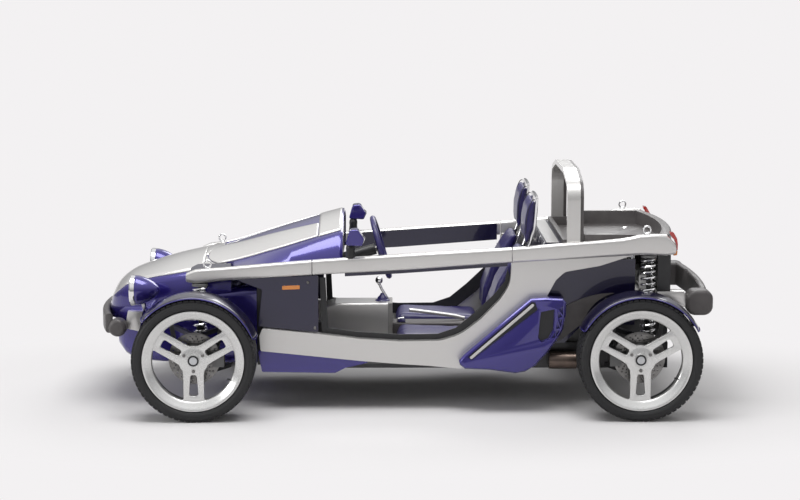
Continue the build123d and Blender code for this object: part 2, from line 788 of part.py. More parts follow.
# Wheels, uprights and suspension
# Columns: name, axle's x, side, lower and upper arm spread, upper arm's legs, caliper angle,
# spring's reach from the kingpin
front_reach = kingpin_y - front_spring_y
rear_reach = kingpin_y - rear_spring_y
corners = (
    ("front_left", 0, 1, front_arm_spread, front_upper_spread, (-1, 1), 0, front_reach),
    ("front_right", 0, -1, front_arm_spread, front_upper_spread, (-1, 1), 0, front_reach),
    ("rear_left", wheelbase, 1, rear_arm_spread, rear_arm_spread, (-1,), 180, rear_reach),
    ("rear_right", wheelbase, -1, rear_arm_spread, rear_arm_spread, (-1,), 180, rear_reach),
)
rim = make_rim()
tyre = make_tyre()
arms = []
rear_uprights = []
rear_fenders = []
for name, axle_x, side, spread, upper_spread, upper_legs, caliper_angle, spring_reach in corners:
    wheel_place = Pos(axle_x, -wheel_mid_y, tyre_radius)
    pin_place = Pos(axle_x, -kingpin_y, tyre_radius)
    pieces = {
        "rim": wheel_place * rim,
        "tyre": wheel_place * tyre,
        "upright": wheel_place * (make_upright(caliper_angle) + make_fender_stays()),
    }
    corner_arms = [pin_place * arm for arm in make_suspension(spread, upper_spread, upper_legs, spring_reach)]
    if side < 0:
        pieces = {key: mirror(piece, about=Plane.XZ) for key, piece in pieces.items()}
        corner_arms = [mirror(arm, about=Plane.XZ) for arm in corner_arms]
    nodes["rim_" + name] = pieces["rim"]
    nodes["tyre_" + name] = pieces["tyre"]
    arms += corner_arms
    fender = wheel_place * make_fender(front_fender_span if axle_x == 0 else rear_fender_span)
    if side < 0:
        fender = mirror(fender, about=Plane.XZ)
    fender -= pieces["upright"]
    if axle_x == 0:
        nodes["knuckle_" + name] = pieces["upright"]
        nodes["fender_" + name] = fender
    else:
        rear_uprights.append(pieces["upright"])
        rear_fenders.append(fender)
nodes["suspension_arms"] = arms
nodes["rear_uprights"] = rear_uprights
nodes["rear_fenders"] = rear_fenders

arm_top = tyre_radius - upright_half_height - seat_gap
front_spring_top = rail_stations[1][1] - seat_gap
rear_spring_top = rail_at(rear_spring_x + spring_radius, 1) - seat_gap
front_spring = Pos(front_spring_x, -front_spring_y) * make_spring(arm_top + seat_gap, front_spring_top)
rear_spring = Pos(rear_spring_x, -rear_spring_y) * make_spring(arm_top + seat_gap, rear_spring_top)
nodes["coil_springs"] = both(front_spring) + both(rear_spring)

# Rails, sills and side panels
left_rail = make_rail()
nodes["side_rail_left"] = left_rail
nodes["side_rail_right"] = mirror(left_rail, about=Plane.XZ)
sill = make_sill()
nodes["sill_frame_left"] = sill
nodes["sill_frame_right"] = mirror(sill, about=Plane.XZ)
front_panel = plate(((311, 440), (333, 631), (180, 690), (623, 706), (626, 410)), -panel_outer_y,
                    -panel_outer_y + panel_wall)
nodes["front_side_panels"] = both(front_panel - sill - left_rail)
skirt = plate(((309, 305), (329, 199), (708, 193), (760, 219), (889, 250), (838, 262), (528, 292), (321, 312)),
              -panel_outer_y, -tub_half_width)
nodes["side_skirts"] = both(skirt - sill)
pod, bar = make_pod()
nodes["side_pods"] = both(pod)
nodes["side_pod_bars"] = both(bar)
nodes["door_liners"] = both(make_door_liner())
nodes["rail_trims"] = [make_rail_trim(True), mirror(make_rail_trim(False), about=Plane.XZ)]
rear_panel, quarter_panel = make_rear_side()
nodes["rear_side_panels"] = both(rear_panel)
nodes["quarter_panels"] = both(quarter_panel - sill)

# Nose, hood and cabin
nose = make_nose()
cover = make_nose_cover()
hood = make_hood_body()
nodes["nose_cover"] = cover
nodes["hood_body"] = hood - left_rail
nose = nose - cover - hood
for rail_side in both(left_rail):
    nose -= rail_side
nodes["nose_body"] = nose
nodes["hood_blades"] = make_hood_blades()
nodes["dashboard"] = make_dashboard()
tub = box(tub_front_x, tub_rear_x, -tub_half_width, tub_half_width, floor_top - floor_wall, floor_top)
tub += box(nose_rear_x, tub_front_x, -nose_half_width, nose_half_width, floor_top - floor_wall, 640)
nodes["floor_tub"] = tub
bulkhead = plate(((bulkhead_front_x, floor_top - floor_wall), (bulkhead_front_x, 600), (1795, bulkhead_top),
                  (bulkhead_rear_x, bulkhead_top), (bulkhead_rear_x, 836), (1815, 836), (1730, 600),
                  (1730, floor_top - floor_wall)), -bulkhead_half_width, bulkhead_half_width)
nodes["rear_bulkhead"] = bulkhead
tunnel = box(643, 1010, -tunnel_half_width, tunnel_half_width, floor_top, tunnel_top)
tunnel += box(330, 1500, -60, 60, floor_top, 380)
nodes["centre_tunnel"] = tunnel
lever = rod((1000, 0, tunnel_top - 40), (936, 0, 599), 8) + Pos(936, 0, 599) * Sphere(21)
nodes["gear_lever"] = lever - tunnel
backs = []
frames = []
for side in (-1, 1):
    pads, frame = make_seat(side * seat_mid_y)
    backs += pads
    frames += frame
nodes["seat_cushions"] = backs
nodes["seat_frames"] = frames

# Steering wheel and column
steering = placed_steering(make_steering_wheel())
column = Plane.XY.offset(-30) * Circle(column_radius + 14)
column = extrude(column, -200)
shaft_bore = Plane.XY.offset(-30) * Circle(column_radius + running_fit)
column -= extrude(shaft_bore, -(115 - 30) - seat_gap)
column = placed_steering(column) - nodes["dashboard"]
nodes["steering_wheel"] = steering
nodes["steering_column"] = column

# Roll hoop, tray and tail
hoop, backing = make_hoop()
nodes["roll_hoop"] = hoop
nodes["roll_hoop_backing"] = backing
caps = make_filler_caps()
tray = make_tray()
for cap in caps:
    tray -= cap
nodes["rear_tray"] = tray
nodes["filler_cap"] = caps
subframe = box(1731, 2450, 340, arm_inner_y - seat_gap, 195, 330)
tail = box(2400, 2440, -430, 430, 330, 800 - seat_gap)
for side in (-1, 1):
    tail += box(2374, 2440, side * 467, side * 425, 622, 800 - seat_gap)
    tail += box(2374, 2440, side * 505, side * 464, 622, rail_at(2440, 1) - seat_gap)
nodes["rear_subframe"] = both(subframe) + [tail]
nodes["engine_block"] = box(1810, 2200, -340 + seat_gap, 340 - seat_gap, 300, 700)
exhaust_y = -arm_inner_y - exhaust_radius
nodes["exhaust"] = rod((1822, exhaust_y, 246), (1964, exhaust_y, 246), exhaust_radius)

# Bumpers and lamps
nodes["bumper_front"] = make_front_bumper()
nodes["bumper_rear"] = make_rear_bumper()
left_front_bracket, left_rear_bracket = make_bumper_brackets()
left_front_bracket = left_front_bracket - nodes["bumper_front"] - nose
left_rear_bracket -= nodes["bumper_rear"]
nodes["bumper_brackets"] = both(left_front_bracket) + both(left_rear_bracket)
shell, bezel, lens = make_headlamp()
nodes["headlamp_shells"] = both(shell - nose)
nodes["headlamp_bezels"] = both(bezel)
nodes["headlamp_lenses"] = both(lens)
lens_back = ThreePointArc((2428, 938), (2469, 890), (2466, 815))
lens_front = Polyline((2466, 815), (2436, 812), (2428, 938))
lens_face = make_face([lens_back, *lens_front.edges()])
tail_lamp = extrude(Plane.XZ.offset(505) * lens_face, 40) - left_rail
tail_lamp = tail_lamp.solids().sort_by(SortBy.VOLUME)[-1]
nodes["tail_lamps"] = both(tail_lamp)
mirror_shell = plate(((762, 868), (785, 950), (830, 953), (865, 900), (850, 864)), -560, -470)
mirror_shell += rod((790, -490, rail_at(790, 2) - 4), (790, -490, 880), 24)
nodes["mirrors"] = both(mirror_shell - left_rail)
eyes = []
for x in (52, 2312):
    eyes += both(make_eye(x, -rail_outer(x) + rail_width / 2, rail_at(x, 2)))
nodes["lift_eyes"] = [eye - rail_side for eye, rail_side in zip(eyes, both(left_rail) * 2)]

os.makedirs("parts", exist_ok=True)
for name, shape in nodes.items():
    solids = shape if isinstance(shape, list) else [shape]
    whole = []
    for solid in solids:
        whole += (Pos(-overall_middle, 0, 0) * solid).solids()
    export_step(Compound(children=whole), "parts/" + name + ".step")
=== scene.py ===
import json
from math import atan2, cos, pi, radians, sin, sqrt

import bmesh
import bpy
from mathutils import Matrix, Vector


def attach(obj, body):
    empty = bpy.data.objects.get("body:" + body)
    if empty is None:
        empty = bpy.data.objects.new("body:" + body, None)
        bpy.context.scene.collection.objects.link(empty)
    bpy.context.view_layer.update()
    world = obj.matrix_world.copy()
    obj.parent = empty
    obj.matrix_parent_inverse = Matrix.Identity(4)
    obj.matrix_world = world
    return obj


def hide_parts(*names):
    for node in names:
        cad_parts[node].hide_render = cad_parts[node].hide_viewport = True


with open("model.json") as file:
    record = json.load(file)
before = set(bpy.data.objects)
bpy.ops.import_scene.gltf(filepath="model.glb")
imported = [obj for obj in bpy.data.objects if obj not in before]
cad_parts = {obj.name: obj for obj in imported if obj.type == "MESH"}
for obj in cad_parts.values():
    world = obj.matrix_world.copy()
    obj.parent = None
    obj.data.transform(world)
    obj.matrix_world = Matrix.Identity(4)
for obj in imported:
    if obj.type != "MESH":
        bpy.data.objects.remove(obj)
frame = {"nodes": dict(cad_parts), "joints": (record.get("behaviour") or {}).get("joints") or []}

bl_info = {"name": "Rail roadster", "version": (1, 0, 0), "blender": (4, 5, 0),
    "location": "View3D > Sidebar > Roadster", "description":
    "Dresses a light open two-seater with outer side rails and cycle fenders", "category": "Object",}

# Anchors from the frame, in metres. Piece coordinates below count x from the front axle.
JOINTS = {joint["name"]: joint for joint in frame["joints"]}
AXLE_X, _, AXLE_Z = JOINTS["steer_left"]["pos_m"]
WHEELBASE = JOINTS["roll_rear_left"]["pos_m"][0] - AXLE_X
WHEEL_Y = abs(JOINTS["roll_front_left"]["pos_m"][1])
WHEEL_HUB = JOINTS["steering_wheel_turn"]["pos_m"]
SIDES = (("left", -1), ("right", 1))
CORNERS = tuple((end + "_" + side, AXLE_X + (0 if end == "front" else WHEELBASE), sign) for end in ("front",
    "rear") for side, sign in SIDES)
SPOKE_ANGLES = (30, 150, 270)
ACROSS = Matrix.Scale(-1, 4, (0, 1, 0))

# Rail stations, columns: x, bottom height, top height
RAIL = ((-0.058, 0.672, 0.716), (-0.02, 0.662, 0.734), (0.128, 0.678, 0.746), (0.592, 0.709, 0.787),
    (1.045, 0.734, 0.817), (1.621, 0.775, 0.853), (1.868, 0.79, 0.874), (2.2, 0.811, 0.902),
    (2.279, 0.816, 0.919), (2.411, 0.812, 0.921), (2.44, 0.81, 0.902), (2.46, 0.822, 0.87))
RAIL_WIDTH = 0.05
NOSE_TIP = -0.4935
HOOD_START, HOOD_END = 0.165, 0.748
BLADE_TIP, BLADE_TIP_Y, BLADE_GAP = 0.032, 0.185, 0.008
# How far the silver panels stand above the skin, and their wall
COVER_SKIN, BLADE_SKIN = (0.0015, 0.006), (0.0045, 0.008)
SEAT_Y, SEAT_HALF, SEAT_TUBE_Y = 0.3, 0.155, 0.13

# Top surface of nose and hood, columns: x, edge height at the edge line, crown height, edge line y
SKIN = ((-0.494, 0.514, 0.536, 0.16), (-0.47, 0.556, 0.588, 0.205), (-0.437, 0.588, 0.626, 0.245),
    (-0.382, 0.63, 0.662, 0.285), (-0.274, 0.664, 0.702, 0.322), (-0.138, 0.69, 0.745, 0.346),
    (0.165, 0.745, 0.814, 0.35), (0.4, 0.815, 0.888, 0.35), (0.618, 0.882, 0.954, 0.35),
    (0.748, 0.919, 0.989, 0.35))


def here(x, y, z):
    """A point given from the front axle, in the car's frame."""
    return Vector((AXLE_X + x, y, z))


def between(table, x, column):
    """A value of a station table at x, along a smooth curve through the stations."""
    if x <= table[0][0]:
        return table[0][column]
    last = len(table) - 1
    for i in range(last):
        if x <= table[i + 1][0]:
            rows = [table[max(0, min(k, last))] for k in (i - 1, i, i + 1, i + 2)]
            x_before, x0, x1, x_after = (row[0] for row in rows)
            p0, p1, p2, p3 = (row[column] for row in rows)
            m1 = (p2 - p0) / (x1 - x_before) * (x1 - x0)
            m2 = (p3 - p1) / (x_after - x0) * (x1 - x0)
            t = (x - x0) / (x1 - x0)
            return ((2 * t**3 - 3 * t**2 + 1) * p1 + (t**3 - 2 * t**2 + t) * m1 + (3 * t**2 - 2 * t**3) * p2
                + (t**3 - t**2) * m2)
    return table[-1][column]


def rail_outer(x):
    """The rail's outer half width at x."""
    return 0.506 + 0.044 * (x - 0.052) / 2.26


def skin_height(x, y):
    """Height of the nose and hood's crowned top at x and y."""
    edge, crown, edge_y = (between(SKIN, x, c) for c in (1, 2, 3))
    return edge + (crown - edge) * (1 - (y / edge_y) ** 2)


# Mesh making
def make_object(name, mesh):
    """Links a mesh to the scene as an object at the origin."""
    piece = bpy.data.objects.new(name, mesh)
    bpy.context.scene.collection.objects.link(piece)
    return piece


def make_mesh(name, points, faces, smooth_angle=35):
    """A piece from points and faces, with outward normals and edges sharp past an angle."""
    mesh = bpy.data.meshes.new(name)
    mesh.from_pydata([tuple(p) for p in points], [], faces)
    tidy_mesh(mesh, smooth_angle)
    return make_object(name, mesh)


def shade(mesh, smooth_angle):
    """Shades smooth up to an angle."""
    mesh.polygons.foreach_set("use_smooth", [True] * len(mesh.polygons))
    mesh.set_sharp_from_angle(angle=radians(smooth_angle))


def tidy_mesh(mesh, smooth_angle):
    """Merges doubles, turns normals outwards and shades smooth up to an angle."""
    bm = bmesh.new()
    bm.from_mesh(mesh)
    bmesh.ops.remove_doubles(bm, verts=bm.verts, dist=1e-6)
    bmesh.ops.recalc_face_normals(bm, faces=bm.faces)
    bm.to_mesh(mesh)
    bm.free()
    shade(mesh, smooth_angle)


def bake_modifiers(piece):
    """Turns the evaluated piece into its own plain mesh and removes its modifiers."""
    depsgraph = bpy.context.evaluated_depsgraph_get()
    mesh = bpy.data.meshes.new_from_object(piece.evaluated_get(depsgraph))
    piece.modifiers.clear()
    piece.data = mesh
    return piece


def modified(piece, kind, **settings):
    """Runs one modifier on the piece and keeps the result as its plain mesh."""
    modifier = piece.modifiers.new("step", kind)
    for key, value in settings.items():
        setattr(modifier, key, value)
    return bake_modifiers(piece)


def soften(piece, width, segments, angle=30):
    """Rounds the piece's sharp edges."""
    return modified(piece, "BEVEL", width=width, segments=segments, limit_method="ANGLE",
        angle_limit=radians(angle), harden_normals=True)


def thicken(piece, wall):
    """Gives an open sheet its wall, on the inner side."""
    return modified(piece, "SOLIDIFY", thickness=wall, offset=-1)


def join(name, pieces):
    """Joins pieces into one mesh, keeping each one's materials."""
    mesh = bpy.data.meshes.new(name)
    bm = bmesh.new()
    materials = []
    for piece in pieces:
        remap = []
        for material in piece.data.materials:
            if material not in materials:
                materials.append(material)
            remap.append(materials.index(material))
        start = len(bm.faces)
        bm.from_mesh(piece.data)
        bm.faces.ensure_lookup_table()
        for face in bm.faces[start:]:
            face.material_index = remap[face.material_index] if remap else 0
    bm.to_mesh(mesh)
    bm.free()
    for material in materials:
        mesh.materials.append(material)
    for piece in pieces:
        bpy.data.objects.remove(piece)
    return make_object(name, mesh)


def flip_side(piece):
    """Turns the piece into its mirror image on the car's other side."""
    piece.data.transform(ACROSS)
    piece.data.flip_normals()
    return piece


def pair(name, piece):
    """The piece and its mirror image as one."""
    return join(name, [piece, flip_side(make_object(name + "_twin", piece.data.copy()))])


def rounded_outline(points, radius, steps=5):
    """The outline with its corners as arcs. A corner's own radius may stand third in its point."""
    result = []
    count = len(points)
    for i, point in enumerate(points):
        corner = Vector(point[:2])
        before = Vector(points[i - 1][:2]) - corner
        after = Vector(points[(i + 1) % count][:2]) - corner
        half_turn = before.angle(after) / 2
        wanted = (point[2] if len(point) > 2 else radius) / max(sin(half_turn) / cos(half_turn), 1e-6)
        reach = min(wanted, before.length * 0.48, after.length * 0.48)
        start, end = corner + before.normalized() * reach, corner + after.normalized() * reach
        for step in range(steps + 1):
            t = step / steps
            result.append(start * (1 - t) ** 2 + corner * 2 * t * (1 - t) + end * t**2)
    return result


def side_plate(name, outline, y_from, y_to, radius, edge, segments=3):
    """A plate from a side-view outline of (x, z) points, with rounded corners and edges."""
    ring = rounded_outline(outline, radius)
    count = len(ring)
    points = [here(p.x, y_from, p.y) for p in ring] + [here(p.x, y_to, p.y) for p in ring]
    faces = [list(range(count)), list(range(2 * count - 1, count - 1, -1))]
    faces += [[i, (i + 1) % count, count + (i + 1) % count, count + i] for i in range(count)]
    return soften(make_mesh(name, points, faces), edge, segments)


def loft(name, rings, caps=True, closed=True, smooth_angle=35):
    """A skin over rings of points of equal count."""
    count = len(rings[0])
    points = [p for ring in rings for p in ring]
    faces = []
    last = count if closed else count - 1
    for r in range(len(rings) - 1):
        for i in range(last):
            j = (i + 1) % count
            faces.append([r * count + i, r * count + j, (r + 1) * count + j, (r + 1) * count + i])
    if caps:
        faces.append(list(range(count)))
        faces.append([(len(rings) - 1) * count + i for i in range(count)])
    return make_mesh(name, points, faces, smooth_angle)


def lathe(name, profile, centre, axis, steps, smooth_angle=35):
    """Turns a profile of (radius, height) about an axis through the centre."""
    axis = Vector(axis).normalized()
    side = Vector((1, 0, 0)) if abs(axis.y) > 0.99 else axis.orthogonal().normalized()
    up = axis.cross(side)
    rings = []
    for step in range(steps):
        angle = 2 * pi * step / steps
        spoke = side * cos(angle) + up * sin(angle)
        rings.append([Vector(centre) + spoke * r + axis * h for r, h in profile])
    rings.append(rings[0])
    return loft(name, rings, caps=False, closed=False, smooth_angle=smooth_angle)


def smooth_path(points, count):
    """Points along a smooth curve through the given ones."""
    rows = [(i, *p) for i, p in enumerate(points)]
    last = len(points) - 1
    return [Vector([between(rows, last * i / (count - 1), c) for c in (1, 2, 3)]) for i in range(count)]


def tube(name, path, radius, steps, flat=1.0, closed=False):
    """A round or flattened bar along a path. Radius may be one number or one for each point."""
    radii = radius if isinstance(radius, (list, tuple)) else [radius] * len(path)
    rings = []
    side = None
    count = len(path)
    for i, point in enumerate(path):
        before = path[(i - 1) % count] if closed else path[max(i - 1, 0)]
        after = path[(i + 1) % count] if closed else path[min(i + 1, count - 1)]
        ahead = (after - before).normalized()
        if side is None:
            side = ahead.orthogonal().normalized()
            if abs(ahead.z) < 0.9:
                side = ahead.cross(Vector((0, 0, 1))).normalized()
        side = (side - ahead * side.dot(ahead)).normalized()
        up = ahead.cross(side)
        ring = []
        for step in range(steps):
            angle = 2 * pi * step / steps
            ring.append(point + side * cos(angle) * radii[i] + up * sin(angle) * radii[i] * flat)
        rings.append(ring)
    if closed:
        rings.append(rings[0])
    return loft(name, rings, caps=not closed)


def cut_sheet(name, outline, holes, low, high, edge, place):
    """A flat sheet with holes, from closed outlines in its own plane, its edges rounded."""
    curve = bpy.data.curves.new(name, "CURVE")
    curve.dimensions = "2D"
    curve.fill_mode = "BOTH"
    for ring in (outline, *holes):
        spline = curve.splines.new("POLY")
        spline.points.add(len(ring) - 1)
        for point, (u, v) in zip(spline.points, ring):
            point.co = (u, v, 0, 1)
        spline.use_cyclic_u = True
    curve.extrude = (high - low) / 2 - edge
    curve.bevel_depth = edge
    curve.bevel_resolution = 2
    curve.offset = -edge
    flat = make_object(name, curve)
    depsgraph = bpy.context.evaluated_depsgraph_get()
    mesh = bpy.data.meshes.new_from_object(flat.evaluated_get(depsgraph))
    bpy.data.objects.remove(flat)
    mesh.transform(Matrix.Translation((0, 0, (low + high) / 2)))
    mesh.transform(place)
    tidy_mesh(mesh, 32)
    return make_object(name, mesh)


def circle(radius, steps, centre=(0, 0)):
    """Points round a circle."""
    angles = [2 * pi * i / steps for i in range(steps)]
    return [(centre[0] + radius * cos(a), centre[1] + radius * sin(a)) for a in angles]


# Shared effects
def fill(node, values):
    """Sets the values of a node's inputs."""
    for key, value in values.items():
        node.inputs[key].default_value = value
    return node


def add(tree, kind, values=None, **settings):
    """Adds a node with its settings and the values of its inputs."""
    node = tree.nodes.new(kind)
    for key, value in settings.items():
        setattr(node, key, value)
    return fill(node, values or {})


def wire(tree, *rows):
    """Links nodes. Columns: node, its output, next node, its input."""
    for source, output, target, entry in rows:
        tree.links.new(source.outputs[output], target.inputs[entry])


def new_tree(name, kind, inputs, outputs):
    """A node tree with named inputs and outputs, and its two end nodes."""
    tree = bpy.data.node_groups.new(name, kind)
    for label, socket_kind, default in inputs:
        socket = tree.interface.new_socket(label, in_out="INPUT", socket_type="NodeSocket" + socket_kind)
        if default is not None:
            socket.default_value = default
    for label, socket_kind in outputs:
        tree.interface.new_socket(label, in_out="OUTPUT", socket_type="NodeSocket" + socket_kind)
    return tree, tree.nodes.new("NodeGroupInput"), tree.nodes.new("NodeGroupOutput")


def once(name, make):
    """The named node tree, made when first asked for."""
    return bpy.data.node_groups.get(name) or make(name)


def grain_group(name):
    """Fine grain: a mask from noise on the object's own coordinates."""
    group, given, result = new_tree(name, "ShaderNodeTree", [("Scale", "Float", 200.0)], [("Mask", "Float")])
    noise = add(group, "ShaderNodeTexNoise", {"Detail": 4.0})
    wire(group, (add(group, "ShaderNodeTexCoord"), "Object", noise, "Vector"),
        (given, "Scale", noise, "Scale"), (noise, "Fac", result, "Mask"))
    return group


def varied_group(name):
    """Colour variation: mixes two colours by a soft mask from noise."""
    group, given, result = new_tree(name, "ShaderNodeTree",
        [("Base", "Color", (1, 1, 1, 1)), ("Other", "Color", (0, 0, 0, 1)), ("Scale", "Float", 6.0),
        ("Amount", "Float", 0.3)], [("Colour", "Color"), ("Mask", "Float")])
    noise = add(group, "ShaderNodeTexNoise", {"Detail": 6.0})
    spread = add(group, "ShaderNodeMapRange", {"From Min": 0.35, "From Max": 0.65})
    scaled = add(group, "ShaderNodeMath", operation="MULTIPLY")
    mix = add(group, "ShaderNodeMix", data_type="RGBA")
    wire(group, (add(group, "ShaderNodeTexCoord"), "Object", noise, "Vector"),
        (given, "Scale", noise, "Scale"), (noise, "Fac", spread, "Value"), (spread, "Result", scaled, 0),
        (given, "Amount", scaled, 1), (scaled, 0, mix, "Factor"), (given, "Base", mix, "A"),
        (given, "Other", mix, "B"), (mix, "Result", result, "Colour"), (scaled, 0, result, "Mask"))
    return group


# Finishes, columns: base colour, other colour, amount, variation scale, metallic, roughness,
# grain scale, bump, clear coat
# The darker violet finish is a darkened copy of the violet paint: painted shade for purple surfaces that
# stand in shadow.
FINISHES = {"violet_paint": ((0.026, 0.017, 0.185), (0.042, 0.028, 0.26), 0.5, 900, 0.45, 0.26, 1200, 0.004,
    1.0), "violet_shade": ((0.0045, 0.0028, 0.028), (0.008, 0.005, 0.044), 0.5, 900, 0.3, 0.3, 1200, 0.004,
    0.8), "silver_paint": ((0.62, 0.61, 0.595), (0.72, 0.71, 0.695), 0.5, 1100, 0.65, 0.33, 1300, 0.006,
    0.5), "rim_silver": ((0.66, 0.66, 0.65), (0.75, 0.75, 0.74), 0.4, 700, 0.75, 0.3, 1400, 0.006, 0.3),
    "barrel_silver": ((0.16, 0.16, 0.16), (0.24, 0.24, 0.24), 0.4, 60, 0.85, 0.42, 900, 0.01, 0.0),
    "bare_steel": ((0.22, 0.215, 0.21), (0.13, 0.125, 0.12), 0.6, 45, 0.95, 0.32, 800, 0.02, 0.0),
    "bright_chrome": ((0.8, 0.8, 0.8), (0.72, 0.72, 0.73), 0.4, 12, 1.0, 0.07, 60, 0.001, 0.0),
    "dark_bronze": ((0.16, 0.12, 0.1), (0.1, 0.08, 0.07), 0.6, 30, 0.9, 0.32, 500, 0.02, 0.0),
    "grey_moulding": ((0.085, 0.078, 0.078), (0.115, 0.106, 0.105), 0.5, 25, 0.0, 0.46, 900, 0.12, 0.0),
    "light_moulding": ((0.3, 0.29, 0.28), (0.36, 0.35, 0.34), 0.5, 25, 0.0, 0.45, 900, 0.1, 0.0),
    "black_moulding": ((0.014, 0.014, 0.016), (0.026, 0.026, 0.028), 0.5, 30, 0.0, 0.42, 900, 0.12, 0.0),
    "black_frame": ((0.02, 0.02, 0.022), (0.034, 0.034, 0.036), 0.6, 20, 0.3, 0.38, 500, 0.05, 0.2),
    "cast_metal": ((0.14, 0.14, 0.145), (0.2, 0.2, 0.205), 0.6, 35, 0.7, 0.5, 350, 0.2, 0.0),
    "tyre_rubber": ((0.01, 0.01, 0.011), (0.018, 0.018, 0.019), 0.6, 18, 0.0, 0.62, 700, 0.15, 0.0),
    "violet_leather": ((0.016, 0.011, 0.09), (0.028, 0.02, 0.135), 0.5, 40, 0.0, 0.42, 420, 0.3, 0.15),
    "black_leather": ((0.016, 0.015, 0.022), (0.03, 0.028, 0.04), 0.5, 40, 0.0, 0.46, 420, 0.3, 0.1),
    "red_lamp": ((0.5, 0.02, 0.012), (0.38, 0.012, 0.008), 0.4, 40, 0.0, 0.12, 300, 0.02, 1.0),
    "amber_lamp": ((0.75, 0.24, 0.02), (0.62, 0.18, 0.02), 0.4, 40, 0.0, 0.14, 300, 0.02, 1.0),
    "pale_cap": ((0.55, 0.56, 0.58), (0.62, 0.63, 0.65), 0.4, 60, 0.2, 0.25, 600, 0.01, 1.0),
    "clear_glass": ((0.86, 0.88, 0.9), (0.8, 0.83, 0.86), 0.4, 30, 0.0, 0.04, 200, 0.004, 0.0),}


def finish(name):
    """The named material, made from its row of finishes when first asked for."""
    if name in bpy.data.materials:
        return bpy.data.materials[name]
    base, other, amount, scale, metallic, roughness, grain_scale, bump, gloss = FINISHES[name]
    material = bpy.data.materials.new(name)
    material.use_nodes = True
    tree = material.node_tree
    shader = fill(tree.nodes["Principled BSDF"], {"Metallic": metallic, "Coat Weight": gloss,
        "Coat Roughness": 0.04})
    if name == "clear_glass":
        fill(shader, {"Transmission Weight": 0.85, "IOR": 1.45})
    varied = add(tree, "ShaderNodeGroup", {"Base": (*base, 1), "Other": (*other, 1), "Scale": scale,
        "Amount": amount}, node_tree=once("colour variation", varied_group))
    grain = add(tree, "ShaderNodeGroup", {"Scale": grain_scale}, node_tree=once("fine grain", grain_group))
    height = add(tree, "ShaderNodeBump", {"Strength": min(1.0, bump * 3), "Distance": 0.0004})
    rough = add(tree, "ShaderNodeMapRange", {"To Min": roughness * 0.88,
        "To Max": min(1.0, roughness * 1.12)})
    wire(tree, (varied, "Colour", shader, "Base Color"), (grain, "Mask", height, "Height"),
        (height, "Normal", shader, "Normal"), (varied, "Mask", rough, "Value"),
        (rough, "Result", shader, "Roughness"))
    return material


def coat(piece, name):
    """Gives the whole piece one finish."""
    piece.data.materials.clear()
    piece.data.materials.append(finish(name))
    return piece


def settle(piece, *nodes, slot=None, body="chassis"):
    """Rides a finished piece on a body, and lets it stand for CAD nodes."""
    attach(piece, body)
    if nodes:
        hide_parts(*nodes)


# Geometry nodes
def ring_tree(name, build_part, inputs):
    """A tree that sets copies of a part round a circle about the y axis."""
    tree, given, result = new_tree(name, "GeometryNodeTree",
        [("Geometry", "Geometry", None), ("Count", "Int", 12), ("Radius", "Float", 0.3),
        ("Start", "Float", 0.0), ("Finish", "Material", None), *inputs], [("Geometry", "Geometry")])
    ring = add(tree, "GeometryNodeMeshCircle")
    copies = add(tree, "GeometryNodeInstanceOnPoints")
    align = add(tree, "FunctionNodeAlignRotationToVector", axis="X", pivot_axis="Z")
    stand = add(tree, "GeometryNodeTransform", {"Rotation": (radians(90), 0, 0)})
    spin = add(tree, "GeometryNodeTransform")
    turn = add(tree, "ShaderNodeCombineXYZ")
    realize = add(tree, "GeometryNodeRealizeInstances")
    dress = add(tree, "GeometryNodeSetMaterial")
    wire(tree, (given, "Count", ring, "Vertices"), (given, "Radius", ring, "Radius"),
        (ring, "Mesh", copies, "Points"), (build_part(tree, given), "Mesh", copies, "Instance"),
        (add(tree, "GeometryNodeInputPosition"), "Position", align, "Vector"),
        (align, "Rotation", copies, "Rotation"), (given, "Start", turn, "Y"),
        (copies, "Instances", stand, "Geometry"), (stand, "Geometry", spin, "Geometry"),
        (turn, "Vector", spin, "Rotation"), (spin, "Geometry", realize, "Geometry"),
        (realize, "Geometry", dress, "Geometry"), (given, "Finish", dress, "Material"),
        (dress, "Geometry", result, "Geometry"))
    return tree


def tread_block(tree, given):
    """One tread block: a box of the given length, width and height."""
    size = add(tree, "ShaderNodeCombineXYZ")
    cube = add(tree, "GeometryNodeMeshCube")
    wire(tree, (given, "Height", size, "X"), (given, "Length", size, "Y"), (given, "Width", size, "Z"),
        (size, "Vector", cube, "Size"))
    return cube


def bolt_head(tree, given):
    """One bolt head: a short cone with a flat top, standing along the ring's axis."""
    head = add(tree, "GeometryNodeMeshCone", {"Vertices": 12})
    top = add(tree, "ShaderNodeMath", {1: 0.8}, operation="MULTIPLY")
    wire(tree, (given, "Head", head, "Radius Bottom"), (given, "Head", top, 0),
        (top, 0, head, "Radius Top"), (given, "Depth", head, "Depth"))
    return head


def run_tree(name, tree, values):
    """Runs a tree on an empty mesh and returns its result as a plain piece."""
    piece = make_object(name, bpy.data.meshes.new(name))
    modifier = piece.modifiers.new(tree.name, "NODES")
    modifier.node_group = tree
    for item in tree.interface.items_tree:
        if item.item_type == "SOCKET" and item.in_out == "INPUT" and item.name in values:
            modifier[item.identifier] = values[item.name]
    return bake_modifiers(piece)


def tread_tree(name):
    """The tyre's tread tree."""
    return ring_tree(name, tread_block, (("Length", "Float", 0.02), ("Width", "Float", 0.03),
        ("Height", "Float", 0.008)))


def bolt_tree(name):
    """The bolt ring tree."""
    return ring_tree(name, bolt_head, (("Head", "Float", 0.008), ("Depth", "Float", 0.006)))


def moved(piece, matrix):
    """Moves a piece's mesh, leaving its object at the origin."""
    piece.data.transform(matrix)
    return piece


# Wheels
def bearing_arc(radius, first, last, steps, sense):
    """Corner points on an arc between the bearings of two points. Sense is 1 or -1."""
    start, end = atan2(first.y, first.x), atan2(last.y, last.x)
    while (end - start) * sense < 0:
        end += sense * 2 * pi
    angles = [start + (end - start) * i / steps for i in range(1, steps)]
    return [(radius * cos(a), radius * sin(a), 0.004) for a in angles]


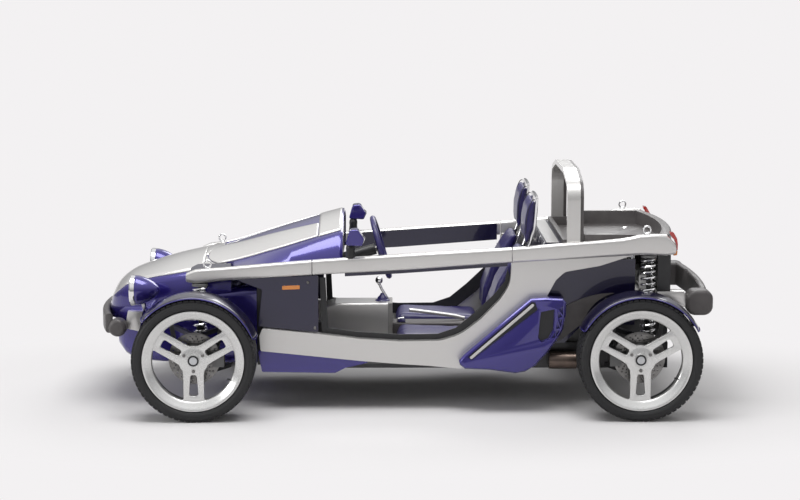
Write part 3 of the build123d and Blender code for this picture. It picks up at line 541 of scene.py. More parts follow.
def spoke_windows():
    """The rim's openings: three windows between the spokes and a slot in each spoke."""
    holes = []
    spoke_half, inner, outer = 0.0525, 0.076, 0.211
    for angle in SPOKE_ANGLES:
        a0, a1 = radians(angle), radians(angle + 120)
        near = [Vector((cos(a0) * r - sin(a0) * spoke_half,
            sin(a0) * r + cos(a0) * spoke_half)) for r in (0.08, 0.2044)]
        far = [Vector((cos(a1) * r + sin(a1) * spoke_half,
            sin(a1) * r - cos(a1) * spoke_half)) for r in (0.2044, 0.08)]
        ring = [(*near[0], 0.012), (*near[1], 0.016), *bearing_arc(outer, near[1], far[0], 14, 1),
            (*far[0], 0.016), (*far[1], 0.012), *bearing_arc(inner, far[1], near[0], 4, -1)]
        slot = [(0.074, -0.0155), (0.181, -0.0235), (0.181, 0.0235), (0.074, 0.0155)]
        turned = [(cos(a0) * u - sin(a0) * v, sin(a0) * u + cos(a0) * v) for u, v in slot]
        for corners, radius, steps in ((ring, 0.01, 4), (turned, 0.013, 6)):
            holes.append([tuple(p) for p in rounded_outline(corners, radius, steps)])
    return holes


def build_rim(name, hub, sign):
    """One rim with spokes, lip, barrel, hub, cap, bolts and brake disc. Sign is -1 on the left."""
    face = Matrix.Translation(hub) @ Matrix.Rotation(radians(90), 4, "X")

    def turned(part, look, steps, *profile):
        return coat(lathe(part, profile, hub, (0, 1, 0), steps), look)

    spoke_plane, spoke_wall = 0.072, 0.024
    spokes = coat(cut_sheet("spokes", circle(0.219, 96), spoke_windows(), spoke_plane - spoke_wall,
        spoke_plane, 0.0035, face), "rim_silver")
    lip = turned("lip", "rim_silver", 120, (0.209, -0.05), (0.2105, -0.07), (0.214, -0.0745),
        (0.224, -0.08), (0.238, -0.0885), (0.246, -0.0945), (0.2525, -0.0965), (0.2572, -0.0955),
        (0.258, -0.092), (0.258, -0.0865), (0.2475, -0.0865), (0.241, -0.08))
    barrel = turned("barrel", "barrel_silver", 120, (0.209, -0.05), (0.226, -0.046), (0.229, -0.03),
        (0.226, 0.02), (0.229, 0.06), (0.236, 0.088), (0.252, 0.095), (0.2535, 0.0935), (0.2535, 0.0865),
        (0.2475, 0.0865), (0.241, 0.08), (0.241, -0.08))
    boss = turned("boss", "rim_silver", 64, (0.0, -0.0755), (0.0275, -0.0755), (0.03, -0.077),
        (0.0325, -0.0765), (0.0345, -0.0735), (0.04, -0.0722), (0.066, -0.0722), (0.07, -0.07),
        (0.07, -0.042), (0.038, -0.03), (0.038, -0.012))
    cap_ring = turned("cap_ring", "black_moulding", 48, (0.0195, -0.077), (0.0262, -0.0785),
        (0.0275, -0.077), (0.0275, -0.075))
    cap = turned("cap", "pale_cap", 48, (0.0, -0.079), (0.008, -0.0788), (0.015, -0.078), (0.0197, -0.0768))
    bolts = run_tree("bolts", once("bolt ring", bolt_tree),
        {"Count": 3, "Radius": 0.0546, "Start": radians(-30), "Head": 0.0088, "Depth": 0.007,
        "Finish": finish("bare_steel")})
    moved(bolts, Matrix.Translation(Vector(hub) + Vector((0, -0.0745, 0))))
    valve_radius, valve_angle = 0.196, radians(-28)
    valve_at = (valve_radius * cos(valve_angle), valve_radius * sin(valve_angle))
    valve = coat(tube("valve", [Vector(hub) + Vector((valve_at[0] * k, y, valve_at[1] * k)) for k,
        y in ((1.08, -0.055), (1.02, -0.072), (0.99, -0.083))], 0.0042, 10), "black_moulding")
    holes = []
    hole_radius, holes_round = 0.0036, 24
    for row, radius in enumerate((0.088, 0.101, 0.114)):
        for i in range(holes_round):
            angle = 2 * pi * (i + row / 3) / holes_round
            holes.append(circle(hole_radius, 8, (radius * cos(angle), radius * sin(angle))))
    disc = coat(cut_sheet("disc", circle(0.132, 72), [circle(0.074, 40), *holes], -0.0055, 0.0055, 0.0008,
        face), "bare_steel")
    bell = turned("bell", "barrel_silver", 48, (0.074, -0.004), (0.074, -0.018), (0.07, -0.022),
        (0.036, -0.022), (0.036, -0.012))
    whole = join(name, [spokes, lip, barrel, boss, cap_ring, cap, bolts, valve, disc, bell])
    if sign > 0:
        moved(whole, Matrix.Translation(hub) @ ACROSS @ Matrix.Translation(-Vector(hub)))
        whole.data.flip_normals()
    return whole


def build_tyre(name, hub):
    """One tyre: carcass with sidewall rings and rows of tread blocks."""
    # Half the carcass, columns: radius, distance from the middle plane
    half = ((0.2413, 0.0862), (0.2583, 0.0862), (0.2608, 0.0905), (0.264, 0.0955), (0.2668, 0.0985),
        (0.269, 0.0978), (0.272, 0.1005), (0.279, 0.102), (0.286, 0.1023), (0.2882, 0.1012),
        (0.2905, 0.1018), (0.299, 0.099), (0.305, 0.094), (0.3082, 0.086), (0.3092, 0.06), (0.3094, 0.0))
    profile = list(half) + [(r, -y) for r, y in reversed(half[:-1])]
    carcass = coat(lathe("carcass", profile, hub, (0, 1, 0), 128, 40), "tyre_rubber")
    pieces = [carcass]
    count = bpy.context.scene.roadster_sizes.tread_blocks
    pitch = 2 * pi / count
    tread_radius, block_sink, block_height = 0.31, 0.001, 0.0075
    # Rows of blocks, columns: distance from the middle plane, width, share of the pitch, radius
    for row, (y, width, share, radius) in enumerate(((-0.0835, 0.022, 0.78, 0.3095),
            (-0.0555, 0.027, 0.84, 0.3108), (-0.019, 0.03, 0.88, 0.3112), (0.019, 0.03, 0.88, 0.3112),
            (0.0555, 0.027, 0.84, 0.3108), (0.0835, 0.022, 0.78, 0.3095))):
        blocks = run_tree("blocks", once("tread ring", tread_tree),
            {"Count": count, "Radius": radius - block_sink, "Start": pitch * (row % 2) / 2,
            "Length": pitch * tread_radius * share, "Width": width, "Height": block_height,
            "Finish": finish("tyre_rubber")})
        pieces.append(moved(blocks, Matrix.Translation(Vector(hub) + Vector((0, y, 0)))))
    return join(name, pieces)


def build_wheels():
    """All four rims and tyres."""
    for corner, x, sign in CORNERS:
        hub = Vector((x, sign * WHEEL_Y, AXLE_Z))
        body = "wheel_" + corner
        settle(build_rim("wheel_" + corner, hub, sign), "rim_" + corner, slot="wheel_silver", body=body)
        settle(build_tyre("rubber_" + corner, hub), "tyre_" + corner, slot="tyre", body=body)


# Fenders
def build_fender(name, hub_x, sign, span):
    """A cycle fender: crowned across, rounded at its ends, with a rolled edge."""
    inner_edge, outer_edge = 0.586 - WHEEL_Y, 0.1025
    inner_radius, wall, crown = 0.3215, 0.0055, 0.0115
    start, end = radians(span[0]), radians(span[1])
    along, across = 48, 16
    rings = []
    corner_length, corner_pull, fender_radius = 0.045, 0.24, 0.33
    corner = corner_length / fender_radius
    roll_drop, roll_start, roll_width = 0.004, 0.9, 0.1
    for i in range(along + 1):
        angle = start + (end - start) * i / along
        reach = min(angle - start, end - angle)
        pull = 1.0
        if reach < corner:
            pull = 1 - corner_pull * (1 - sqrt(max(0.0, 1 - (1 - reach / corner) ** 2)))
        ring = []
        for k in range(across + 1):
            t = -1 + 2 * k / across
            middle = (outer_edge + inner_edge) / 2
            width = (outer_edge - inner_edge) / 2
            offset = middle + t * width * pull
            lift = crown * (1 - t**2)
            roll = -roll_drop * max(0.0, abs(t) - roll_start) / roll_width
            radius = inner_radius + wall + lift + roll
            ring.append(here(hub_x - AXLE_X, 0, 0) + Vector((radius * cos(angle), sign * (WHEEL_Y + offset),
                AXLE_Z + radius * sin(angle))))
        rings.append(ring)
    sheet = loft(name, rings, caps=False, closed=False)
    for polygon in sheet.data.polygons:
        middle = polygon.center - Vector((hub_x, polygon.center.y, AXLE_Z))
        if polygon.normal.dot(middle) < 0:
            sheet.data.flip_normals()
            break
    thicken(sheet, wall)
    edge = tube(name + "_bead", smooth_rim(rings), 0.0032, 8, closed=True)
    # Painted shade: the sheet takes the darker violet copy of the paint, and the bead keeps the plain violet
    # paint.
    coat(sheet, "violet_shade")
    coat(edge, "violet_paint")
    return join(name, [sheet, edge])


def smooth_rim(rings):
    """The border of a grid of rings, as one closed path."""
    border = list(rings[0]) + [ring[-1] for ring in rings[1:]]
    border += list(reversed(rings[-1]))[1:] + [ring[0] for ring in reversed(rings[1:-1])]
    return border


def build_fenders():
    """The four cycle fenders."""
    for side, sign in SIDES:
        fender = build_fender("front_fender_" + side, AXLE_X, sign, (20, 142))
        settle(fender, "fender_front_" + side, slot="purple", body="steered_" + side)
    rear = [build_fender("rear_fender_" + side, AXLE_X + WHEELBASE, sign, (27, 153)) for side, sign in SIDES]
    settle(join("rear_fender_pair", rear), "rear_fenders", slot="purple")


# Side frame
def rail_ring(x, inset=0.0):
    """A rounded section of the left rail at x."""
    low, high = between(RAIL, x, 1) + inset, between(RAIL, x, 2) - inset
    outer = rail_outer(x)
    ring = rounded_outline(((-outer + inset, low), (-outer + RAIL_WIDTH - inset, low),
        (-outer + RAIL_WIDTH - inset, high), (-outer + inset, high)), 0.019, 6)
    return [here(x, p.x, p.y) for p in ring]


def build_rails():
    """The side rails in three lengths with fine joints, and the sill frames."""
    joints = (RAIL[0][0], 0.592, 1.621, RAIL[-1][0])
    gap, end_inset, station_step = 0.0012, 0.002, 0.045
    for side, sign in SIDES:
        parts = []
        for start, end in zip(joints, joints[1:]):
            first = start + (gap if start > joints[0] else 0)
            last = end - (gap if end < joints[-1] else 0)
            count = max(8, int((last - first) / station_step))
            rings = [rail_ring(first, end_inset)]
            rings += [rail_ring(first + end_inset + (last - first - 2 * end_inset) * i / count) for i in
                range(count + 1)]
            rings.append(rail_ring(last, end_inset))
            parts.append(coat(loft("rail_part", rings), "silver_paint"))
        rail = join("rail_" + side, parts)
        if sign > 0:
            flip_side(rail)
        settle(rail, "side_rail_" + side, slot="silver")
    sill_outer, sill_inner = 0.52, 0.47
    # The sill frame's outline, columns: x, height, corner radius where it isn't the usual one
    sill = ((0.323, 0.314), (0.318, 0.392), (0.334, 0.432), (0.626, 0.403), (0.838, 0.376), (1.045, 0.363),
        (1.252, 0.365, 0.2), (1.355, 0.397, 0.25), (1.458, 0.475, 0.25), (1.56, 0.58, 0.2),
        (1.611, 0.658, 0.15), (1.62, 0.7745), (1.868, 0.7895), (2.2, 0.8105), (2.248, 0.8135),
        (2.073, 0.757, 0.05), (1.894, 0.726, 0.06), (1.848, 0.684, 0.06), (1.792, 0.58, 0.1),
        (1.7, 0.4, 0.1), (1.371, 0.217, 0.06), (1.2, 0.234), (1.045, 0.244), (0.838, 0.261), (0.528, 0.293))
    for side, sign in SIDES:
        near, far = sorted((sign * sill_outer, sign * sill_inner))
        piece = coat(side_plate("sill_" + side, sill, near, far, 0.012, 0.013, 5), "silver_paint")
        settle(piece, "sill_frame_" + side, slot="silver")


def build_side_panels():
    """Front side panels with markers, skirts, and side pods with bars and grilles."""
    panel = side_plate("panel", ((0.311, 0.44), (0.333, 0.631), (0.18, 0.69), (0.623, 0.7065),
        (0.623, 0.408)), -0.5, -0.488, 0.012, 0.004)
    # Painted shade: the front side panel takes the darker violet copy of the paint, as it stands in shadow.
    coat(panel, "violet_shade")
    marker = coat(side_plate("marker", ((0.437, 0.632), (0.437, 0.652), (0.528, 0.655), (0.528, 0.635)),
        -0.5035, -0.499, 0.004, 0.0015), "amber_lamp")
    studs = [coat(lathe("stud", ((0, -0.0045), (0.006, -0.004), (0.0085, 0.0)), here(x, -0.5, z), (0, 1, 0),
        16), "bare_steel") for x, z in ((0.57, 0.67), (0.605, 0.43))]
    settle(pair("front_side_panel_pair", join("front_panel", [panel, marker, *studs])), "front_side_panels",
        slot="purple")
    skirt = side_plate("skirt", ((0.309, 0.305), (0.329, 0.199), (0.708, 0.193), (0.76, 0.219),
        (0.889, 0.25), (0.838, 0.2605), (0.528, 0.2925), (0.321, 0.3125)), -0.5, -0.4705, 0.008, 0.006)
    settle(pair("skirt_pair", coat(skirt, "violet_paint")), "side_skirts", slot="purple")
    build_pods()


def rounded_copy(name, node, width, look, segments=3):
    """A node's own form with its sharp edges rounded."""
    source = frame["nodes"][node]
    mesh = source.data.copy()
    mesh.transform(source.matrix_world)
    mesh.materials.clear()
    bm = bmesh.new()
    bm.from_mesh(mesh)
    bmesh.ops.remove_doubles(bm, verts=bm.verts, dist=1e-5)
    bmesh.ops.dissolve_limit(bm, angle_limit=radians(1), verts=bm.verts, edges=bm.edges)
    bm.to_mesh(mesh)
    bm.free()
    piece = make_object(name, mesh)
    soften(piece, width, segments, 28)
    shade(piece.data, 35)
    return coat(piece, look)


def build_pods():
    """The purple side pods with a silver bar in a dark recess, a scoop and a lattice edge."""
    pods = rounded_copy("side_pod_pair", "side_pods", 0.004, "violet_paint")
    settle(pods, "side_pods", slot="purple")
    # Thin black sheets on the floors of the recess and the scoop: painted shade.
    shade_sheets = [side_plate("recess_lining", ((1.394, 0.295), (1.412, 0.282), (1.749, 0.541), (1.736, 0.578),
        (1.719, 0.581)), -0.5868, -0.5862, 0.004, 0.0001, 1),
        side_plate("scoop_lining", ((1.768, 0.529), (1.835, 0.543), (1.831, 0.438), (1.806, 0.391),
        (1.769, 0.376), (1.755, 0.396), (1.763, 0.489)), -0.5748, -0.5742, 0.004, 0.0001, 1)]
    for shade_sheet in shade_sheets:
        coat(shade_sheet, "black_moulding")
    settle(pair("pod_lining_set", join("pod_linings", shade_sheets)))
    bar = side_plate("bar", ((1.4, 0.294), (1.411, 0.285), (1.726, 0.558), (1.733, 0.569), (1.722, 0.5745)),
        -0.604, -0.5872, 0.006, 0.003)
    settle(pair("side_pod_bar_pair", coat(bar, "silver_paint")), "side_pod_bars", slot="silver")


# Nose and hood
def skin_patch(name, plan, lift, wall, steps_x=40, steps_y=16):
    """A panel on the crowned skin between two plan edges y_low(x) and y_high(x) over a span of x."""
    x_from, x_to, low, high = plan
    rings = []
    for i in range(steps_x + 1):
        x = x_from + (x_to - x_from) * i / steps_x
        y0, y1 = low(x), high(x)
        ring = []
        for k in range(steps_y + 1):
            y = y0 + (y1 - y0) * k / steps_y
            ring.append(here(x, y, skin_height(x, y) + lift))
        rings.append(ring)
    sheet = loft(name, rings, caps=False, closed=False, smooth_angle=60)
    if sheet.data.polygons[0].normal.z < 0:
        sheet.data.flip_normals()
    thicken(sheet, wall)
    return sheet


def body_ring(x, low, flank):
    """A nose or hood section from the left low edge over the crown to the right low edge."""
    edge_y = between(SKIN, x, 3)
    half = [(-flank[0], low), (-flank[0], (low + flank[1]) / 2), (-flank[0], flank[1])]
    shoulder = Vector((-edge_y - (flank[0] - edge_y) * 0.42, skin_height(x, edge_y) - 0.01))
    half.append((shoulder.x, min(shoulder.y, skin_height(x, edge_y))))
    steps = 28
    across = [-edge_y + 2 * edge_y * k / steps for k in range(steps + 1)]
    crown = [(y, skin_height(x, y)) for y in across]
    ring = half + crown + [(-y, z) for y, z in reversed(half)]
    return [here(x, y, z) for y, z in ring]


def tip_round(x, tip_end):
    """How far a blade's edge has come round its tip at x, from 0 at the tip to 1 at the tip's end."""
    t = max(0.0, min(1.0, (x - BLADE_TIP) / (tip_end - BLADE_TIP)))
    return sqrt(1 - (1 - t) ** 2)


def blade_low(x):
    """Inner plan edge of the left blade at x, as a distance from the middle."""
    tip_end, reach, straight_y, slant = 0.11, 0.125, 0.06, 0.245
    if x < tip_end:
        return BLADE_TIP_Y - reach * tip_round(x, tip_end)
    return straight_y + (x - tip_end) * slant


def blade_high(x):
    """Outer plan edge of the left blade at x, as a distance from the middle."""
    tip_end, reach, straight_y, slant, widest = 0.13, 0.14, 0.325, 0.05, 0.015
    if x < tip_end:
        return BLADE_TIP_Y + reach * tip_round(x, tip_end)
    return straight_y + min(widest, (x - tip_end) * slant)


def cover_half(x):
    """Plan half width of the silver nose cover at x."""
    share_of_skin = 0.985
    return between(SKIN, x, 3) * share_of_skin


def tongue_half(x):
    """Plan half width of the cover's tongue between the two blades at x."""
    least = 0.02
    return max(least, blade_low(x) - BLADE_GAP)


def build_nose():
    """The purple nose body, the silver cover on it, the hood, its blades and the cowl band."""
    rings = []
    nose_low, shell_drop, flank_gap, flank_spread, edge_drop = 0.442, 0.0035, 0.013, 0.015, 0.03
    for i in range(29):
        x = NOSE_TIP + (HOOD_START - NOSE_TIP) * i / 28
        edge_y = between(SKIN, x, 3)
        flank = (edge_y + flank_gap + flank_spread * min(1.0, (x - NOSE_TIP) / 0.5),
            between(SKIN, x, 1) - edge_drop)
        rings.append(body_ring(x, nose_low, flank))
    shell = coat(loft("nose_shell", [[p - Vector((0, 0, shell_drop)) for p in ring] for ring in rings],
        smooth_angle=50), "violet_paint")
    lower_rings = []
    # Sections of the lower nose, columns: x, half width, bottom and top height
    for x, half, low, high in ((-0.452, 0.2, 0.345, 0.42), (-0.44, 0.27, 0.3, 0.49),
            (-0.4, 0.31, 0.258, 0.515), (-0.342, 0.345, 0.232, 0.52), (-0.2, 0.38, 0.224, 0.53),
            (0.0, 0.385, 0.22, 0.6), (0.298, 0.385, 0.215, 0.638)):
        ring = rounded_outline(((-half, low), (half, low), (half, high), (-half, high)), 0.05, 6)
        lower_rings.append([here(x, p.x, p.y) for p in ring])
    lower = coat(loft("lower_nose", lower_rings, smooth_angle=50), "violet_paint")
    flanks = []
    shelf_front, shelf_length, shelf_low, shelf_rise = -0.045, 0.21, 0.684, 0.012
    for i in range(9):
        x = shelf_front + shelf_length * i / 8
        inner = rail_outer(x) - RAIL_WIDTH + 0.002
        top = between(RAIL, x, 2) - 0.014
        edge_y = between(SKIN, x, 3) + 0.01
        flanks.append([here(x, y, z) for y, z in ((-inner, shelf_low), (-inner, top),
            (-edge_y, top + shelf_rise), (edge_y, top + shelf_rise), (inner, top), (inner, shelf_low))])
    # Painted shade: the shelf between rail and skin takes the darker violet copy of the paint.
    shelf = coat(loft("shelf", flanks, smooth_angle=50), "violet_shade")
    settle(join("nose_shell_whole", [shell, lower, shelf]), "nose_body", slot="purple")
    front_end, tongue_end, side_end, cover_edge = 0.016, 0.105, 0.135, 0.345
    cover_parts = [skin_patch("cover_front", (NOSE_TIP, front_end, lambda x: -cover_half(x), cover_half),
        *COVER_SKIN), skin_patch("cover_middle", (front_end, tongue_end, lambda x: -tongue_half(x),
        tongue_half), *COVER_SKIN, 12, 8)]
    for sign in (-1, 1):
        outer = skin_patch("cover_side", (front_end, side_end,
            lambda x: min(0.344, blade_high(x) + BLADE_GAP), lambda x: cover_edge), *COVER_SKIN, 12, 6)
        if sign < 0:
            flip_side(outer)
        cover_parts.append(outer)
    for part in cover_parts:
        coat(part, "silver_paint")
    settle(join("nose_cover_skin", cover_parts), "nose_cover", slot="silver")
    hood_rings = []
    hood_drop, hood_wall, rail_gap, rail_inset = 0.001, 0.014, 0.001, 0.006
    for i in range(25):
        x = HOOD_START + (HOOD_END - HOOD_START) * i / 24
        flank = (rail_outer(x) - RAIL_WIDTH - rail_gap, between(RAIL, x, 2) - rail_inset)
        hood_rings.append(body_ring(x, between(RAIL, x, 1) + rail_inset, flank))
    hood = loft("hood", [[p - Vector((0, 0, hood_drop)) for p in ring] for ring in hood_rings], caps=False,
        closed=False, smooth_angle=50)
    if hood.data.polygons[len(hood.data.polygons) // 2].normal.z < 0:
        hood.data.flip_normals()
    thicken(hood, hood_wall)
    settle(coat(hood, "violet_paint"), "hood_body", slot="purple")
    blades = []
    blade_front, blade_rear, band_front, band_rear = 0.0325, 0.616, 0.62, 0.738
    for sign in (-1, 1):
        blade = skin_patch("blade", (blade_front, blade_rear, blade_low, blade_high), *BLADE_SKIN, 60, 14)
        if sign < 0:
            flip_side(blade)
        blades.append(blade)
    band = skin_patch("band", (band_front, band_rear, lambda x: -cover_edge, lambda x: cover_edge),
        *BLADE_SKIN, 10, 28)
    for part in blades + [band]:
        coat(part, "silver_paint")
    settle(join("hood_blade_set", blades + [band]), "hood_blades", slot="silver")


# Lamps
def build_lamps():
    """Headlamps with bullet shells on stalks, and the tail lamps."""
    x, y, z = -0.345, -0.47, 0.626
    centre = here(x, y, z)
    shell = lathe("shell", ((0.074, 0.02), (0.0775, 0.026), (0.0765, 0.04), (0.07, 0.066), (0.059, 0.092),
        (0.044, 0.117), (0.025, 0.138), (0.01, 0.148), (0.0, 0.15)), centre, (1, 0, 0), 64)
    stalk = tube("stalk", [here(-0.29, -0.462, 0.59), here(-0.285, -0.43, 0.545),
        here(-0.285, -0.375, 0.505), here(-0.285, -0.345, 0.5)], 0.014, 16)
    settle(pair("headlamp_shell_pair", join("headlamp_shell",
        [coat(shell, "violet_paint"), coat(stalk, "bright_chrome")])), "headlamp_shells", slot="purple")
    bezel = lathe("bezel", ((0.0675, 0.004), (0.069, -0.002), (0.0745, -0.003), (0.0795, 0.003),
        (0.08, 0.014), (0.0785, 0.0235), (0.074, 0.0235)), centre, (1, 0, 0), 64)
    bowl = lathe("bowl", ((0.067, 0.006), (0.06, 0.014), (0.04, 0.022), (0.0, 0.0235)), centre, (1, 0, 0), 48)
    settle(pair("headlamp_bezel_pair", join("headlamp_bezel",
        [coat(bezel, "bright_chrome"), coat(bowl, "bright_chrome")])), "headlamp_bezels", slot="chrome")
    lens = lathe("lens", ((0.0, -0.0055), (0.03, -0.0042), (0.055, 0.0), (0.0668, 0.0045), (0.0668, 0.0075),
        (0.054, 0.0035), (0.03, -0.001), (0.0, -0.0022)), centre, (1, 0, 0), 64)
    settle(pair("headlamp_lens_pair", coat(lens, "clear_glass")), "headlamp_lenses", slot="lens_clear")
    red = side_plate("red", ((2.428, 0.9365), (2.447, 0.932), (2.4645, 0.901), (2.469, 0.872),
        (2.468, 0.841), (2.4615, 0.841), (2.462, 0.868), (2.452, 0.892), (2.441, 0.9045), (2.428, 0.924)),
        -0.545, -0.505, 0.004, 0.003)
    amber = side_plate("amber", ((2.461, 0.8395), (2.4678, 0.8395), (2.4655, 0.8165), (2.445, 0.813)),
        -0.545, -0.505, 0.003, 0.002)
    lamp = join("tail_lamp", [coat(red, "red_lamp"), coat(amber, "amber_lamp")])
    settle(pair("tail_lamp_pair", lamp), "tail_lamps", slot="lens_red")


# Springs
def build_springs():
    """Four coil springs round their dampers."""
    pieces = []
    coil_radius, wire_radius, pitch, end_gap = 0.0355, 0.0064, 0.031, 0.018
    # Springs of the left side, columns: x, y, bottom and top height
    for x, y, bottom, top in ((0.012, -0.476, 0.224, 0.6617), (2.326, -0.502, 0.224, 0.813)):
        turns = round((top - bottom - 0.03) / pitch)
        count = turns * 20
        path = []
        for i in range(count + 1):
            share = i / count
            angle = 2 * pi * turns * share
            path.append(here(x + coil_radius * cos(angle), y + coil_radius * sin(angle),
                bottom + end_gap + (top - bottom - 2 * end_gap) * share))
        coil = coat(tube("coil", path, wire_radius, 9), "bright_chrome")
        body = coat(lathe("damper", ((0, 0.002), (0.024, 0.002), (0.024, 0.1), (0.021, 0.105),
            (0.021, 0.22), (0.011, 0.222), (0.011, top - bottom - 0.004), (0, top - bottom - 0.004)),
            here(x, y, bottom), (0, 0, 1), 28), "black_frame")
        cups = []
        for height, flip in ((0.0, 1), (top - bottom, -1)):
            cups.append(coat(lathe("cup", ((0, 0.0), (0.0415, 0.0), (0.042, 0.004 * flip),
                (0.042, 0.012 * flip), (0.038, 0.014 * flip), (0.03, 0.015 * flip), (0, 0.015 * flip)),
                here(x, y, bottom + height), (0, 0, 1), 32), "cast_metal"))
        pieces.append(join("spring", [coil, body, *cups]))
    settle(pair("spring_set", join("left_springs", pieces)), "coil_springs", slot="spring_steel")


# Bumpers
def build_bumpers():
    """The bowed bumper bars with their end pods, and their silver brackets."""
    for name, node, width, look, slot in (("front_bumper", "bumper_front", 0.003, "grey_moulding",
            "grey_plastic"), ("rear_bumper", "bumper_rear", 0.003, "grey_moulding", "grey_plastic"),
            ("bracket_set", "bumper_brackets", 0.006, "silver_paint", "silver")):
        settle(rounded_copy(name, node, width, look), node, slot=slot)


# Cabin
def puff(piece, pressure, cap):
    """Swells a closed pad like stuffed upholstery, each point by no more than the cap."""
    modified(piece, "REMESH", mode="VOXEL", voxel_size=0.01)
    start = [v.co.copy() for v in piece.data.vertices]
    cloth = piece.modifiers.new("stuffing", "CLOTH")
    cloth.settings.use_pressure = True
    cloth.settings.uniform_pressure_force = pressure
    cloth.settings.effector_weights.gravity = 0
    scene = bpy.context.scene
    for step in range(1, 15):
        scene.frame_set(step)
    bake_modifiers(piece)
    scene.frame_set(1)
    for vertex, old in zip(piece.data.vertices, start):
        move = vertex.co - old
        if move.length > cap:
            vertex.co = old + move.normalized() * cap
    return piece


def build_seats():
    """Seat cushions and backrests with their chrome frames."""
    stuffing, swell, tube_radius, piping_y, piping_radius = 3.0, 0.006, 0.009, 0.1565, 0.0025
    # Pads, columns: name, outline of x and height, corner radius, edge radius
    outlines = (("base", ((1.012, 0.298), (1.486, 0.298), (1.48, 0.372), (1.04, 0.384)), 0.03, 0.02),
        ("lower_back", ((1.502, 0.403), (1.547, 0.403), (1.598, 0.56), (1.648, 0.7), (1.696, 0.829),
        (1.664, 0.822), (1.612, 0.748), (1.557, 0.65), (1.511, 0.52)), 0.015, 0.014),
        ("upper_back", ((1.702, 0.842), (1.714, 0.902), (1.729, 0.955), (1.742, 1.09), (1.727, 1.086),
        (1.708, 1.045), (1.696, 0.98), (1.694, 0.91)), 0.01, 0.009),)
    pieces = []
    piping = []
    for sign in (-1, 1):
        y = sign * SEAT_Y
        for name, outline, radius, edge in outlines:
            pad = side_plate(name, outline, y - SEAT_HALF, y + SEAT_HALF, radius, edge, 4)
            puff(pad, stuffing, swell)
            pad.data.polygons.foreach_set("use_smooth", [True] * len(pad.data.polygons))
            pieces.append(coat(pad, "violet_leather"))
        for share in (-1, 1):
            seam = [here(x, y + share * piping_y, z) for x,
                z in ((1.694, 0.912), (1.696, 0.98), (1.708, 1.045), (1.727, 1.088), (1.741, 1.092))]
            piping.append(coat(tube("piping", smooth_path(seam, 21), piping_radius, 8), "black_leather"))
    pads = join("seat_pads", pieces)
    settle(pads, "seat_cushions", slot="purple_trim")
    settle(join("seat_piping", piping))
    frames = []
    # The seat tube's path, columns: x, height
    spine = ((1.008, 0.266), (1.25, 0.266), (1.5, 0.268), (1.545, 0.33), (1.562, 0.4), (1.61, 0.56),
        (1.66, 0.7), (1.71, 0.835), (1.726, 0.902), (1.741, 0.955), (1.752, 1.096))
    for sign in (-1, 1):
        for side in (-1, 1):
            y = sign * SEAT_Y + side * SEAT_TUBE_Y
            path = smooth_path([here(x, y, z) for x, z in spine], 60)
            frames.append(coat(tube("frame", path, tube_radius, 12), "bright_chrome"))
            foot = side_plate("rail", ((1.002, 0.237), (1.002, 0.262), (1.5, 0.262), (1.52, 0.237)),
                y - 0.012, y + 0.012, 0.004, 0.002, 2)
            frames.append(coat(foot, "black_frame"))
        cross = [here(1.752, sign * SEAT_Y + t * SEAT_TUBE_Y,
            1.098 + 0.006 * (1 - t * t)) for t in [-1 + i / 6 for i in range(13)]]
        frames.append(coat(tube("cross", cross, 0.008, 12), "bright_chrome"))
    settle(join("seat_frame_set", frames), "seat_frames", slot="chrome")


